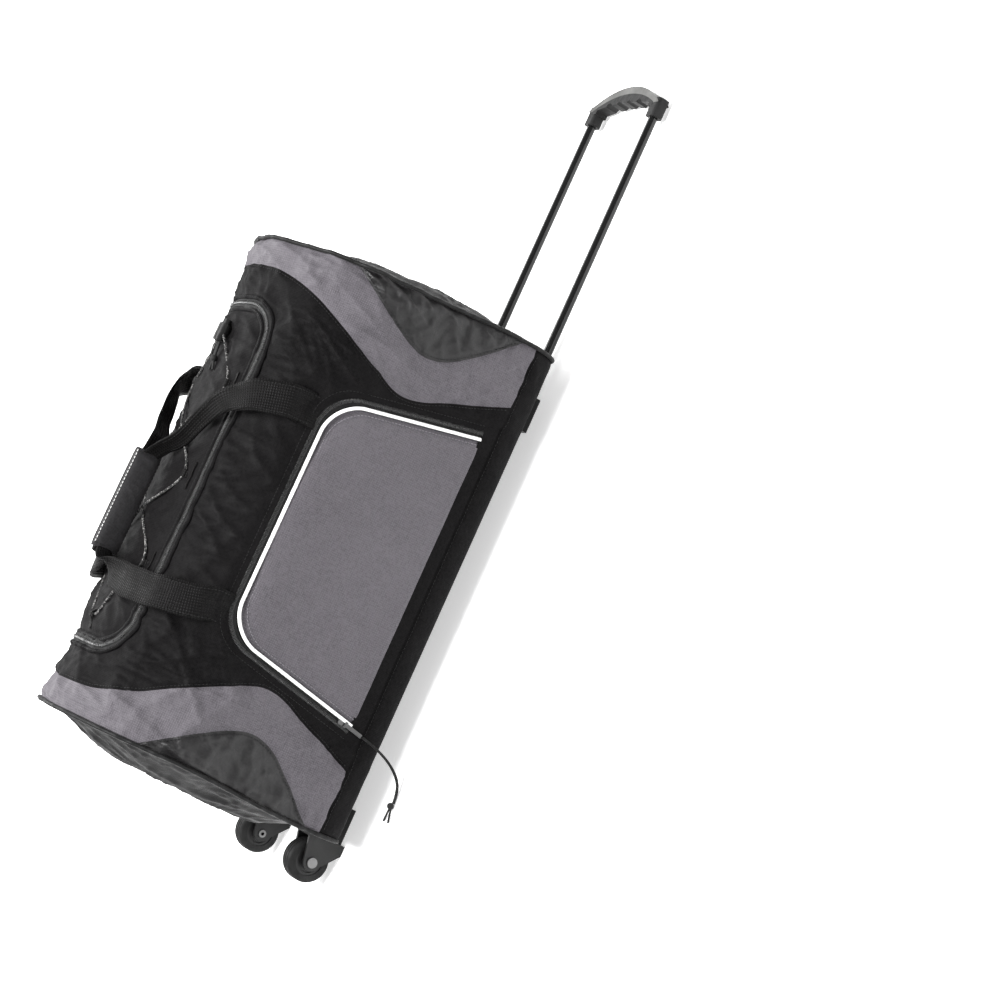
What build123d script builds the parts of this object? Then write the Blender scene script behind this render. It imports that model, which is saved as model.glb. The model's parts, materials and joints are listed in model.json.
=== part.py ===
from build123d import *

import os
from math import atan, degrees, hypot, pi, radians, sqrt, tan

# Wheeled trolley duffel bag for bowling kit, lying on its trolley base.
# +X runs from the wheels to the pull grip, +Z is up and the front pocket faces -Y.
# Z = 0 is the flat underside of the four brackets that carry the bag off the floor.
# All sizes are in millimetres.

os.makedirs("parts", exist_ok=True)

# ---- Driving dimensions -------------------------------------------------------------
BAG_X = -158.0            # middle of the bag along X, so that the whole part is centred on X = 0
HALF_LENGTH = 292.0       # middle of the bag to an end seam
HALF_WIDTH = 147.5
BASE_Z = 21.0             # underside of the fabric base
TOP_Z = 350.0             # crown of the bag
SPRING_Z = 225.0          # height where the flat sides turn into the crown
CORNER_RADIUS = 38.0      # rounded lower edges
WALL = 2.5                # padded fabric
BASE_SEAM_Z = 62.0        # seam between the side panels and the base panel
BOARD = 3.5              # stiffener board inside the base
END_BULGE = 10.0          # how far an end panel stands out past its seam
PIPING = 2.5              # radius of the end piping

BAND_PEAK = (178.0, 185.0)      # x and z of the band's inner point on the side
BAND_FOOT_X = 224.0             # the band's inner edge at the base seam
BAND_TOP_X = 254.0              # the band's inner edge across the crown
INSERT_PEAK = (227.0, 181.0)    # the dark wedge between the band and the end seam
INSERT_LOW_Z = 72.0
INSERT_HIGH_Z = 290.0

FLAP_HALF_LENGTH = 210.0        # the zipped lid in the crown
FLAP_HALF_WIDTH = 78.0
FLAP_CORNER = 46.0
MAIN_ZIP_WIDTH = 9.0
MAIN_ZIP_PROUD = 3.0
MAIN_ZIP_END_Y = 55.0           # the main zip stops here, and the lid is sewn on behind it

POCKET_FOOT = 174.0             # half width of the pocket flap at its bottom fold
POCKET_HEAD = 136.0             # half width at its top edge, before the corners are rounded
POCKET_LOW_Z = 78.0
POCKET_HIGH_Z = 254.0
POCKET_CORNER = 36.0
POCKET_ZIP_WIDTH = 9.0
POCKET_GAP = 0.5                # between the pocket flap and its zip tape
POCKET_DEPTH = 9.0
PIPE_STRIP = 4.5                # white piping along the pocket flap's edge
LINER_WALL = 1.5

WEBBING = 2.4                   # webbing thickness
WRAP_X = (-110.0, 10.0)
WRAP_WALL = 2.4
WRAP_Z = (362.4, 389.1)         # inside of the handle wrap
WRAP_HALF_GAP = 7.1
HINGE_GAP = 1.1                 # room for the wrap's front to turn at its lower edge

TUBE_Y = 76.0                   # trolley tubes, left and right of the middle
TUBE_Z = 12.5
OUTER_TUBE_R = 7.0
OUTER_BORE_R = 5.6
INNER_TUBE_R = 5.5
INNER_BORE_R = 4.5
OUTER_TUBE_X = (-296.0, 258.0)
INNER_TUBE_X = (189.0, 640.0)

GUIDE_X = 239.0
GUIDE_SIZE = (42.0, 26.0)
AXLE_X = -333.0
AXLE_Z = 30.0
AXLE_R = 3.0
WHEEL_Y = 79.0
WHEEL_R = 25.0
HUB_R = 16.5
WHEEL_WIDTH = 22.0
EAR_OUTER_Y = 97.0
EAR_INNER_Y = 61.5
EAR_THICKNESS = 3.5
EAR_TIP_R = 10.0
EAR_HEIGHT = 47.0
PLATE_X = -302.6                # inner face of the wheel bracket's back plate
PLATE_THICKNESS = 3.4

GRIP_X = 629.0                  # where the tubes enter the grip
GRIP_TOP_X = 674.0
GRIP_HALF_Z = 8.2         # thin enough to stow under the base

RUNNING = 0.05                  # radial running clearance
SEAM_GAP = 0.3                  # between soft pieces on different bodies


# ---- Helpers -----------------------------------------------------------------------
def save(node, shape):
    """Shift a shape from the bag's middle to the row frame and write it."""
    placed = Pos(BAG_X, 0, 0) * shape
    placed.label = node
    export_step(placed, f"parts/{node}.step")


def side_prism(points, low_y, high_y):
    """A closed outline of (x, z) points, swept along Y."""
    outline = make_face(Plane.XZ * Polyline(*points, close=True))
    return Pos(0, (low_y + high_y) / 2, 0) * extrude(outline, (high_y - low_y) / 2, both=True)


def box_between(low, high):
    size = [high[i] - low[i] for i in range(3)]
    middle = [(high[i] + low[i]) / 2 for i in range(3)]
    return Pos(*middle) * Box(*size)


def rod(start, end, radius):
    """A round bar between two points."""
    axis = Vector(*end) - Vector(*start)
    plane = Plane(origin=start, z_dir=axis)
    return extrude(plane * Circle(radius), axis.length)


def ring_rod(start, end, outer, inner):
    return rod(start, end, outer) - rod(start, end, inner)


def bag_section(inset):
    """The bag's closed cross-section in the YZ plane, shrunk by inset."""
    half = HALF_WIDTH - inset
    low = BASE_Z + inset
    corner = CORNER_RADIUS - inset
    rise = TOP_Z - SPRING_Z - inset
    edges = [
        Line((half - corner, low), (-half + corner, low)),
        CenterArc((-half + corner, low + corner), corner, 180, 90),
        Line((-half, low + corner), (-half, SPRING_Z)),
        EllipticalCenterArc((0, SPRING_Z), half, rise, 0, arc_size=180),
        Line((half, SPRING_Z), (half, low + corner)),
        CenterArc((half - corner, low + corner), corner, 270, 90),
    ]
    return make_face(edges)


def bag_block(inset, half_length):
    return extrude(Plane.YZ * bag_section(inset), half_length, both=True)


def end_block(side, inset):
    """The bulging end panel's solid, from the end seam outwards."""
    steps = [(0.0, 0.0), (0.6, 5.0), (1.0, 16.0)]
    reach = END_BULGE - inset
    faces = []
    for out, shrink in steps:
        x = side * (HALF_LENGTH + reach * out)
        faces.append(Pos(x, 0, 0) * (Plane.YZ * bag_section(inset + shrink)))
    return loft(faces, ruled=True)


# ---- Outlines on the side of the bag ---------------------------------------------------
def rounded_outline(points, radii):
    """A closed outline of (x, z) points with rounded corners, as a face on XZ."""
    wire = FilletPolyline(*points, radius=radii, close=True)
    return make_face(Plane.XZ * wire)


def through(face):
    return extrude(face, 300, both=True)


def band_zone(side):
    """Everything from the band's inner edge to the bag's end."""
    far = HALF_LENGTH + 30
    points = [
        (side * BAND_FOOT_X, BASE_SEAM_Z),
        (side * BAND_PEAK[0], BAND_PEAK[1]),
        (side * BAND_TOP_X, TOP_Z + 8),
        (side * far, TOP_Z + 8),
        (side * far, BASE_SEAM_Z),
    ]
    return through(rounded_outline(points, [1, 40, 1, 1, 1]))


def insert_zone(side):
    far = HALF_LENGTH + 30
    slope_low = (INSERT_PEAK[1] - INSERT_LOW_Z) / (HALF_LENGTH - INSERT_PEAK[0])
    slope_high = (INSERT_HIGH_Z - INSERT_PEAK[1]) / (HALF_LENGTH - INSERT_PEAK[0])
    points = [
        (side * INSERT_PEAK[0], INSERT_PEAK[1]),
        (side * far, INSERT_PEAK[1] + slope_high * (far - INSERT_PEAK[0])),
        (side * far, INSERT_PEAK[1] - slope_low * (far - INSERT_PEAK[0])),
    ]
    return through(rounded_outline(points, [18, 1, 1]))


def pocket_outline(grow):
    """The pocket flap's outline, grown by grow on its two sides and its top."""
    lean = (POCKET_FOOT - POCKET_HEAD) / (POCKET_HIGH_Z - POCKET_LOW_Z)
    wider = grow * sqrt(1 + lean * lean)
    high = POCKET_HIGH_Z + grow
    foot = POCKET_FOOT + wider
    head = POCKET_HEAD + wider - lean * grow
    points = [(foot, POCKET_LOW_Z), (head, high), (-head, high), (-foot, POCKET_LOW_Z)]
    corner = POCKET_CORNER + grow
    return rounded_outline(points, [0.5, corner, corner, 0.5])


def lid_prism(grow):
    """The rounded outline of the zipped lid, standing through the crown."""
    length = 2 * (FLAP_HALF_LENGTH + grow)
    width = 2 * (FLAP_HALF_WIDTH + grow)
    outline = RectangleRounded(length, width, FLAP_CORNER + grow)
    return Pos(0, 0, 240) * extrude(outline, 160)


# ---- Fabric shell ----------------------------------------------------------------------
def make_shell_panels(screws):
    shell = bag_block(0, HALF_LENGTH) - bag_block(WALL, HALF_LENGTH + 1)
    far = HALF_LENGTH + 5
    base_zone = box_between((-far, -200, 0), (far, 200, BASE_SEAM_Z))
    save("base_panel", (shell & base_zone) - screws)
    upper = shell - base_zone
    for side, end in ((-1, "wheel_end"), (1, "handle_end")):
        zone = band_zone(side)
        wedge = insert_zone(side)
        cut_out = upper & zone
        save(f"{end}_band", cut_out - wedge)
        inserts = cut_out & wedge
        save(f"{end}_front_insert", inserts & box_between((-400, -200, 0), (400, 0, 400)))
        save(f"{end}_back_insert", inserts & box_between((-400, 0, 0), (400, 200, 400)))
        upper = upper - zone
    window = through(pocket_outline(POCKET_GAP + POCKET_ZIP_WIDTH))
    window = window & box_between((-300, -200, 0), (300, 0, 400))
    body = upper - window - lid_prism(0)
    save("main_body", body)
    return shell


def make_end_panels():
    for side, end in ((-1, "wheel_end"), (1, "handle_end")):
        panel = end_block(side, 0) - end_block(side, WALL)
        save(f"{end}_panel", panel)


def make_end_piping():
    """A bead round each end seam, standing proud of the fabric."""
    hoop = bag_block(-PIPING, PIPING) - bag_block(0, PIPING)
    for side, end in ((-1, "wheel_end"), (1, "handle_end")):
        bead = Pos(side * (HALF_LENGTH - PIPING), 0, 0) * hoop
        # The bead is cut away over the brackets, where it would be squashed flat.
        bead = bead - box_between((-400, -110, 0), (400, 110, BASE_Z))
        save(f"{end}_piping", bead)


def make_lid(shell):
    keep_front = box_between((-300, -150, 240), (300, MAIN_ZIP_END_Y, 420))
    ring = (lid_prism(0) - lid_prism(-MAIN_ZIP_WIDTH)) & keep_front
    ridge = bag_block(-MAIN_ZIP_PROUD, HALF_LENGTH) - bag_block(WALL, HALF_LENGTH + 1)
    save("main_zipper", ridge & ring)
    save("top_flap", (shell & lid_prism(0)) - ring)


def make_base_board(screws):
    board = box_between((-280, -108, BASE_Z + WALL), (280, 108, BASE_Z + WALL + BOARD))
    save("base_board", board - screws)


# ---- Front pocket ----------------------------------------------------------------------
def make_pocket(shell):
    front = box_between((-300, -200, 0), (300, -60, 400))
    flap_zone = through(pocket_outline(0)) & front
    zip_inner = through(pocket_outline(POCKET_GAP)) & front
    zip_outer = through(pocket_outline(POCKET_GAP + POCKET_ZIP_WIDTH)) & front
    strip_inner = through(pocket_outline(-PIPE_STRIP)) & front
    fold_gap = box_between((-300, -200, 0), (300, 0, POCKET_LOW_Z + SEAM_GAP))
    save("pocket_panel", (shell & flap_zone) - fold_gap)

    proud = bag_block(-2.0, HALF_LENGTH) - bag_block(0, HALF_LENGTH + 1)
    fold_clearance = box_between((-300, -200, 0), (300, 0, POCKET_LOW_Z + PIPE_STRIP))
    save("pocket_piping", (proud & (flap_zone - strip_inner)) - fold_clearance)

    tape = bag_block(1.0, HALF_LENGTH) - bag_block(WALL, HALF_LENGTH + 1)
    save("pocket_zipper", tape & (zip_outer - zip_inner))

    back_y = -HALF_WIDTH + WALL + POCKET_DEPTH
    rim = POCKET_GAP + POCKET_ZIP_WIDTH
    outer_zone = through(pocket_outline(rim + LINER_WALL))
    inner_zone = through(pocket_outline(rim))
    floor_cut = box_between((-300, -200, 0), (300, 200, POCKET_LOW_Z))
    tray_zone = outer_zone & box_between((-300, -200, 0), (300, back_y + LINER_WALL, 400))
    hollow = (inner_zone - floor_cut) & box_between((-300, -200, 0), (300, back_y, 400))
    sole = box_between((-POCKET_FOOT - 8, -200, POCKET_LOW_Z - LINER_WALL),
                       (POCKET_FOOT + 8, back_y + LINER_WALL, POCKET_LOW_Z))
    tray = ((tray_zone + sole) - hollow) & bag_block(WALL, HALF_LENGTH)
    save("pocket_liner", tray)


SLIDER_Z = 90.0           # the pocket slider, closed, at the wheel end of its zip
ZIP_LEAN = (POCKET_FOOT - POCKET_HEAD) / (POCKET_HIGH_Z - POCKET_LOW_Z)
ZIP_MIDDLE = POCKET_GAP + POCKET_ZIP_WIDTH / 2
SLIDER_X = -(POCKET_FOOT + ZIP_MIDDLE * sqrt(1 + ZIP_LEAN ** 2) - ZIP_LEAN * (SLIDER_Z - POCKET_LOW_Z))
SLIDER_FACE_Y = -HALF_WIDTH + 1.0 - SEAM_GAP
PULL_PIN_Y = -3.6         # from the slider's back face
PULL_PIN_Z = -3.0         # from the slider's middle
PULL_LENGTH = 24.0


def at_slider(shape):
    """Place a shape made at the origin on the leaning side of the pocket zip."""
    return Pos(SLIDER_X, SLIDER_FACE_Y, SLIDER_Z) * Rot(0, degrees(atan(ZIP_LEAN)), 0) * shape


def make_pocket_slider():
    body = box_between((-3.5, -2.2, -6), (3.5, 0, 6))
    body = fillet(body.edges().filter_by(Axis.Y), 2.0)
    for offset in (-3.4, 2.4):
        lug_low = (offset, PULL_PIN_Y - 1.2, PULL_PIN_Z - 1.6)
        lug = box_between(lug_low, (offset + 1.0, -2.2, PULL_PIN_Z + 1.6))
        body = body + lug
    pin_ends = [(x, PULL_PIN_Y, PULL_PIN_Z) for x in (-3.4, 3.4)]
    save("pocket_slider", at_slider(body + rod(*pin_ends, 0.6)))

    tab_low = (-2.2, PULL_PIN_Y - 0.7, PULL_PIN_Z - PULL_LENGTH)
    tab = box_between(tab_low, (2.2, PULL_PIN_Y + 0.7, PULL_PIN_Z))
    eye_ends = [(x, PULL_PIN_Y, PULL_PIN_Z) for x in (-2.2, 2.2)]
    tab = tab + rod(*eye_ends, 1.3) - rod(*pin_ends, 0.6 + RUNNING)
    save("pocket_pull", at_slider(tab))
    lean = degrees(atan(ZIP_LEAN))
    print("pocket slider middle", round(SLIDER_X + BAG_X, 2), SLIDER_Z, "lean degrees", lean)


# ---- Pull cord of the pocket zip --------------------------------------------------------
CORD_R = 1.25
CORD_ROUTE = [
    (-182.3, -149.1, 62.6),
    (-184.5, -150.5, 52.5),
    (-189.0, -154.5, 38.0),
    (-197.0, -159.5, 22.0),
    (-208.0, -163.0, 9.0),
    (-221.0, -165.5, 2.6),
    (-235.0, -166.5, 1.9),
]
CORD_SPACING = 2.7        # the second strand lies beside the first, further from the bag
KNOT_R = 4.0
TAIL_R = 1.2


def turn_angle(a, b, c):
    return (Vector(*b) - Vector(*a)).get_angle(Vector(*c) - Vector(*b))


def arc_radii(points):
    """The largest tangent arc that each corner's two runs allow."""
    radii = []
    for a, b, c in zip(points, points[1:], points[2:]):
        shorter = min((Vector(*b) - Vector(*a)).length, (Vector(*c) - Vector(*b)).length)
        radii.append(0.45 * shorter / tan(radians(turn_angle(a, b, c) / 2)))
    return radii


def cord_tube(points, radii, radius):
    path = FilletPolyline(*points, radius=radii)
    start = Plane(origin=points[0], z_dir=Vector(*points[1]) - Vector(*points[0]))
    return sweep(start * Circle(radius), path=path), path.length


def make_pull_cord():
    for name, shift in (("pull_cord_rear", 0.0), ("pull_cord_front", -CORD_SPACING)):
        points = [(x, y + shift, z) for x, y, z in CORD_ROUTE]
        radii = arc_radii(points)
        tube, length = cord_tube(points, radii, CORD_R)
        print(name, "length", round(length, 1), "radii", [round(r, 1) for r in radii])
        print("   volume over section times length", round(tube.volume / (pi * CORD_R ** 2 * length), 4))
        save(name, tube)
    end = CORD_ROUTE[-1]
    middle = (end[0] - KNOT_R + 0.6, end[1] - CORD_SPACING / 2, KNOT_R)
    knot = Pos(*middle) * Sphere(KNOT_R)
    for spread in (-1, 1):
        foot = (middle[0], middle[1] + spread * 1.2, KNOT_R - 0.6)
        tip = (middle[0] - 18, middle[1] + spread * 6.0, TAIL_R + 0.3)
        knot = knot + rod(foot, tip, TAIL_R)
    save("pull_cord_knot", knot)


# ---- Carry handles and their wrap --------------------------------------------------------
def ribbon(points, thickness):
    """A strip of even thickness along (y, z) points, as a face on YZ."""
    left = []
    right = []
    count = len(points)
    for index, (y, z) in enumerate(points):
        before = points[max(index - 1, 0)]
        after = points[min(index + 1, count - 1)]
        length = hypot(after[0] - before[0], after[1] - before[1])
        across = (-(after[1] - before[1]) / length, (after[0] - before[0]) / length)
        left.append((y + across[0] * thickness / 2, z + across[1] * thickness / 2))
        right.append((y - across[0] * thickness / 2, z - across[1] * thickness / 2))
    return make_face(Plane.YZ * Polyline(*left, *reversed(right), close=True))


STRAP_PROFILE = [(-148.9, 262.0), (-147.6, 274.0), (-143.0, 296.0), (-132.0, 316.0), (-112.0, 335.0),
                 (-84.0, 348.0), (-52.0, 356.0), (-26.0, 359.6), (-11.0, 360.8), (-4.9, 362.6), (-4.9, 388.0)]
# The carry handles have slumped towards the wheel end, so their outlines are lopsided.
STRAP_OUTER = [(139, 255), (137, 300), (125, 335), (112, 350), (64, 362), (44, 388),
               (-140, 388), (-150, 362), (-152, 345), (-146, 300), (-139, 255)]
STRAP_INNER = [(99, 250), (97, 296), (88, 330), (72, 345), (30, 356), (22, 364),
               (-112, 364), (-113, 356), (-112, 345), (-106, 300), (-99, 250)]


def make_straps():
    sheet = extrude(ribbon(STRAP_PROFILE, WEBBING), 160, both=True)
    outline = side_prism(STRAP_OUTER, -200, 0) - side_prism(STRAP_INNER, -200, 0)
    front = sheet & outline
    save("carry_strap_front", front)
    save("carry_strap_back", mirror(front, Plane.XZ))


def make_wrap():
    out = WRAP_HALF_GAP + WRAP_WALL
    low = WRAP_Z[0] - WRAP_WALL
    high = WRAP_Z[1] + WRAP_WALL
    left = WRAP_X[0]
    right = WRAP_X[1]
    back = box_between((left, WRAP_HALF_GAP, low), (right, out, WRAP_Z[1]))
    fold = box_between((left, -WRAP_HALF_GAP + HINGE_GAP, low), (right, out, WRAP_Z[0]))
    save("wrap_back", back + fold)
    front = box_between((left, -out, low), (right, -WRAP_HALF_GAP, high))
    lip = box_between((left, -out, WRAP_Z[1] + SEAM_GAP), (right, out, high))
    save("wrap_front", front + lip)


# ---- Shock cord laced over the lid --------------------------------------------------------
LACE_R = 1.5
LACE_LIFT = 4.2           # the cord's axis above the lid where it goes through a loop
LACE_ROWS = (112.0, 2.0, -106.0)
LACE_Y = 52.0
LACE_END_X = -178.0
LOCK_X = 158.0
LOCK_LENGTH = 20.0
LOCK_R = 7.5


def crown_z(y):
    return SPRING_Z + (TOP_Z - SPRING_Z) * sqrt(1 - (y / HALF_WIDTH) ** 2)


def lace_points():
    """Both ends start at the cord lock and cross between the rows of loops."""
    side = crown_z(LACE_Y) + LACE_LIFT
    mid = TOP_Z + 3.2
    a, b, c = LACE_ROWS
    first = (a + b) / 2
    second = (b + c) / 2
    start = LOCK_X + 7.0
    lock_z = TOP_Z + LOCK_R + 1.0
    beside = LOCK_R + 1.4
    return [
        (start, -beside, lock_z),
        (start - 14, -beside - 11, lock_z - 3),
        (a, -LACE_Y, side),
        (first, 0.0, mid),
        (b, LACE_Y, side),
        (second, 0.0, mid),
        (c, -LACE_Y, side),
        (LACE_END_X, -5.0, mid + 1),
        (LACE_END_X, 5.0, mid + 1),
        (c, LACE_Y, side),
        (second + 1, 0.0, mid + 4.5),
        (b, -LACE_Y, side),
        (first + 1, 0.0, mid + 4.5),
        (a, LACE_Y, side),
        (start - 14, beside + 11, lock_z - 3),
        (start, beside, lock_z),
    ]


def make_lacing():
    points = lace_points()
    bend = [8, 5, 60, 5, 60, 5, 4.5, 4.5, 5, 40, 5, 40, 5, 8]
    tube, length = cord_tube(points, bend, LACE_R)
    print("shock_cord length", round(length, 1))
    print("   volume over section times length", round(tube.volume / (pi * LACE_R ** 2 * length), 4))
    save("shock_cord", tube)

    loops = []
    places = [(x, side * LACE_Y) for x in LACE_ROWS for side in (-1, 1)]
    for x, y in places:
        turn = 1 if y > 0 else -1
        low = crown_z(y) - 1.5
        tab = box_between((x - 6, min(y, y + turn * 12), low), (x + 6, max(y, y + turn * 12), low + 8))
        loops.append(tab)
    low = TOP_Z
    loops.append(box_between((LACE_END_X - 14, -7, low), (LACE_END_X - 1, 7, low + 7.5)))
    group = loops[0]
    for piece in loops[1:]:
        group = group + piece
    group = group - bag_block(0, HALF_LENGTH) - tube
    save("lace_loops", group)


def make_cord_tails():
    """The two ends of the shock cord behind the lock, tied in one knot that lies on the lid."""
    knot_at = (LOCK_X - 20, 0, TOP_Z + 4.6)
    tails = Pos(*knot_at) * Sphere(4.2)
    for side in (-1, 1):
        leave = (LOCK_X - 1, side * 2.6, TOP_Z + LOCK_R)
        tails = tails + rod(leave, (knot_at[0], side * 0.8, knot_at[2]), LACE_R)
        tails = tails + rod(knot_at, (LOCK_X - 33, side * 5.5, TOP_Z + 2.0), LACE_R)
    save("shock_cord_tails", tails)


def make_cord_lock():
    axis_z = TOP_Z + LOCK_R + 1.0
    end = LOCK_X + LOCK_LENGTH
    barrel = rod((LOCK_X, 0, axis_z), (end, 0, axis_z), LOCK_R)
    well = rod((LOCK_X + 6, 0, axis_z), (end + 1, 0, axis_z), 5.0)
    save("cord_lock_barrel", barrel - well)
    plunger = rod((LOCK_X + 12, 0, axis_z), (end + 6, 0, axis_z), 4.9)
    socket = rod((LOCK_X + 10, 0, axis_z), (LOCK_X + 18, 0, axis_z), 3.4)
    save("cord_lock_plunger", plunger - socket)
    pitch = 2.4
    coil = Helix(pitch, 9.6, 2.6, center=(LOCK_X + 7, 0, axis_z), direction=(1, 0, 0))
    start = Plane(origin=coil @ 0, z_dir=coil % 0)
    spring = sweep(start * Circle(0.35), path=coil, is_frenet=True)
    save("cord_lock_spring", spring)


# ---- Trolley -----------------------------------------------------------------------------
SIDES = (("near", -1), ("far", 1))


def make_tubes():
    for name, side in SIDES:
        y = side * TUBE_Y
        outer = ring_rod((OUTER_TUBE_X[0], y, TUBE_Z), (OUTER_TUBE_X[1], y, TUBE_Z), OUTER_TUBE_R, OUTER_BORE_R)
        save(f"outer_tube_{name}", outer)
        tail = (INNER_TUBE_X[0], y, TUBE_Z)
        inner = ring_rod(tail, (INNER_TUBE_X[1], y, TUBE_Z), INNER_TUBE_R, INNER_BORE_R)
        save(f"inner_tube_{name}", inner)
        head = rod((INNER_TUBE_X[0] - 4, y, TUBE_Z), tail, OUTER_BORE_R - RUNNING)
        stem = rod((INNER_TUBE_X[0], y, TUBE_Z), (INNER_TUBE_X[0] + 14, y, TUBE_Z), INNER_BORE_R)
        save(f"tube_glide_{name}", head + stem)


def make_guides(screws):
    length, width = GUIDE_SIZE
    for name, side in SIDES:
        y = side * TUBE_Y
        block_low = (GUIDE_X - length / 2, y - width / 2, 0)
        block = box_between(block_low, (GUIDE_X + length / 2, y + width / 2, BASE_Z))
        block = fillet(block.edges().filter_by(Axis.X).group_by(Axis.Z)[0], 4.0)
        deep = rod((GUIDE_X - 60, y, TUBE_Z), (OUTER_TUBE_X[1], y, TUBE_Z), OUTER_TUBE_R)
        mouth = rod((OUTER_TUBE_X[1] - 1, y, TUBE_Z), (GUIDE_X + 60, y, TUBE_Z), INNER_TUBE_R + 0.1)
        save(f"guide_bracket_{name}", block - deep - mouth - screws)


def ear(y_low, y_high):
    """One cheek of a wheel fork, tapering to a round tip at the axle."""
    root = side_prism([(PLATE_X, 0), (PLATE_X, EAR_HEIGHT), (AXLE_X - 2, AXLE_Z + EAR_TIP_R),
                       (AXLE_X - 4, AXLE_Z - EAR_TIP_R + 1), (PLATE_X - 12, 0)], y_low, y_high)
    tip = rod((AXLE_X, y_low, AXLE_Z), (AXLE_X, y_high, AXLE_Z), EAR_TIP_R)
    return root + tip


def make_wheel_brackets(screws):
    for name, side in SIDES:
        outer = sorted((side * EAR_OUTER_Y, side * (EAR_OUTER_Y - EAR_THICKNESS)))
        inner = sorted((side * EAR_INNER_Y, side * (EAR_INNER_Y + EAR_THICKNESS)))
        across = sorted((side * EAR_OUTER_Y, side * EAR_INNER_Y))
        plate = box_between((PLATE_X - PLATE_THICKNESS, across[0], 0), (PLATE_X, across[1], EAR_HEIGHT))
        y = side * TUBE_Y
        socket = box_between((PLATE_X, y - 12.5, 0), (PLATE_X + 42, y + 12.5, BASE_Z))
        socket = fillet(socket.edges().filter_by(Axis.X).group_by(Axis.Z)[0], 4.0)
        bore = rod((OUTER_TUBE_X[0], y, TUBE_Z), (PLATE_X + 60, y, TUBE_Z), OUTER_TUBE_R)
        bracket = plate + ear(*outer) + ear(*inner) + socket - bore
        pin = rod((AXLE_X, across[0] - 2, AXLE_Z), (AXLE_X, across[1] + 2, AXLE_Z), AXLE_R)
        save(f"wheel_bracket_{name}", bracket - pin - screws)

        shank = rod((AXLE_X, across[0] - 1, AXLE_Z), (AXLE_X, across[1] + 1, AXLE_Z), AXLE_R)
        head_y = sorted((side * EAR_OUTER_Y, side * (EAR_OUTER_Y + 2.4)))
        tail_y = sorted((side * EAR_INNER_Y, side * (EAR_INNER_Y - 1.8)))
        head = rod((AXLE_X, head_y[0], AXLE_Z), (AXLE_X, head_y[1], AXLE_Z), 6.0)
        tail = rod((AXLE_X, tail_y[0], AXLE_Z), (AXLE_X, tail_y[1], AXLE_Z), 4.6)
        hollow = rod((AXLE_X, tail_y[0] - 6, AXLE_Z), (AXLE_X, tail_y[1] + 6, AXLE_Z), 2.0)
        save(f"axle_rivet_{name}", shank + head + tail - hollow)


def wheel_ring(y_low, y_high, outer, inner):
    return ring_rod((AXLE_X, y_low, AXLE_Z), (AXLE_X, y_high, AXLE_Z), outer, inner)


def make_wheels():
    bush_r = 4.6
    for name, side in SIDES:
        low = side * WHEEL_Y - WHEEL_WIDTH / 2
        high = side * WHEEL_Y + WHEEL_WIDTH / 2
        tyre = wheel_ring(low, high, WHEEL_R, HUB_R)
        rims = tyre.edges().filter_by(GeomType.CIRCLE).group_by(SortBy.RADIUS)[-1]
        tyre = fillet(rims, 4.0)
        for offset in (-5.5, 0.0, 5.5):
            middle = side * WHEEL_Y + offset
            tyre = tyre - wheel_ring(middle - 0.6, middle + 0.6, WHEEL_R + 1, WHEEL_R - 0.8)
        save(f"tyre_{name}", tyre)
        hub = wheel_ring(low + 1.5, high - 1.5, HUB_R, bush_r)
        dish = wheel_ring(low, low + 4.0, HUB_R - 3.0, bush_r + 2.5)
        dish = dish + wheel_ring(high - 4.0, high, HUB_R - 3.0, bush_r + 2.5)
        save(f"wheel_hub_{name}", hub - dish)
        bush = wheel_ring(low - 0.8, high + 0.8, bush_r, AXLE_R + RUNNING)
        save(f"wheel_bush_{name}", bush)


# ---- Pull grip -----------------------------------------------------------------------------
def grip_zone(outer_x, outer_half, low_x):
    """An arch seen from above: the arc's crown at outer_x, its feet at the leg line."""
    feet_x = GRIP_X + 18.0
    arc = ThreePointArc((feet_x, -outer_half), (outer_x, 0), (feet_x, outer_half))
    lines = Polyline((feet_x, outer_half), (low_x, outer_half), (low_x, -outer_half), (feet_x, -outer_half))
    face = make_face([arc] + list(lines.edges()))
    return Pos(0, 0, TUBE_Z - GRIP_HALF_Z) * extrude(face, 2 * GRIP_HALF_Z)


def make_grip():
    low = GRIP_X + 17.0
    outer = grip_zone(GRIP_TOP_X, TUBE_Y + 10.0, low)
    middle = grip_zone(GRIP_TOP_X - 10.0, TUBE_Y - 2.0, low - 20)
    inner = grip_zone(GRIP_TOP_X - 22.0, TUBE_Y - 12.0, low - 20)
    shell = outer - middle
    cap_z = GRIP_HALF_Z - 0.2
    caps_zone = []
    for side in (-1, 1):
        zone_low = (GRIP_X, side * TUBE_Y - 10, TUBE_Z - cap_z)
        caps_zone.append(box_between(zone_low, (low + 7, side * TUBE_Y + 10, TUBE_Z + cap_z)))
    shell = shell - caps_zone[0] - caps_zone[1]
    save("grip_shell", shell)
    pad = middle & box_between((low - 4, -100, 0), (GRIP_TOP_X, 100, 40))
    pad = pad - inner - caps_zone[0] - caps_zone[1]
    for offset in (-36.0, -12.0, 12.0, 36.0):
        groove = rod((GRIP_TOP_X - 27.5, offset, 0), (GRIP_TOP_X - 27.5, offset, 40), 8.0)
        pad = pad - groove
    save("grip_pad", pad)
    for (name, side), zone in zip(SIDES, caps_zone):
        y = side * TUBE_Y
        socket = rod((GRIP_X - 1, y, TUBE_Z), (INNER_TUBE_X[1], y, TUBE_Z), INNER_TUBE_R)
        cap = fillet(zone.edges().filter_by(Axis.X), 5.0)
        save(f"grip_cap_{name}", cap - socket)


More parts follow.
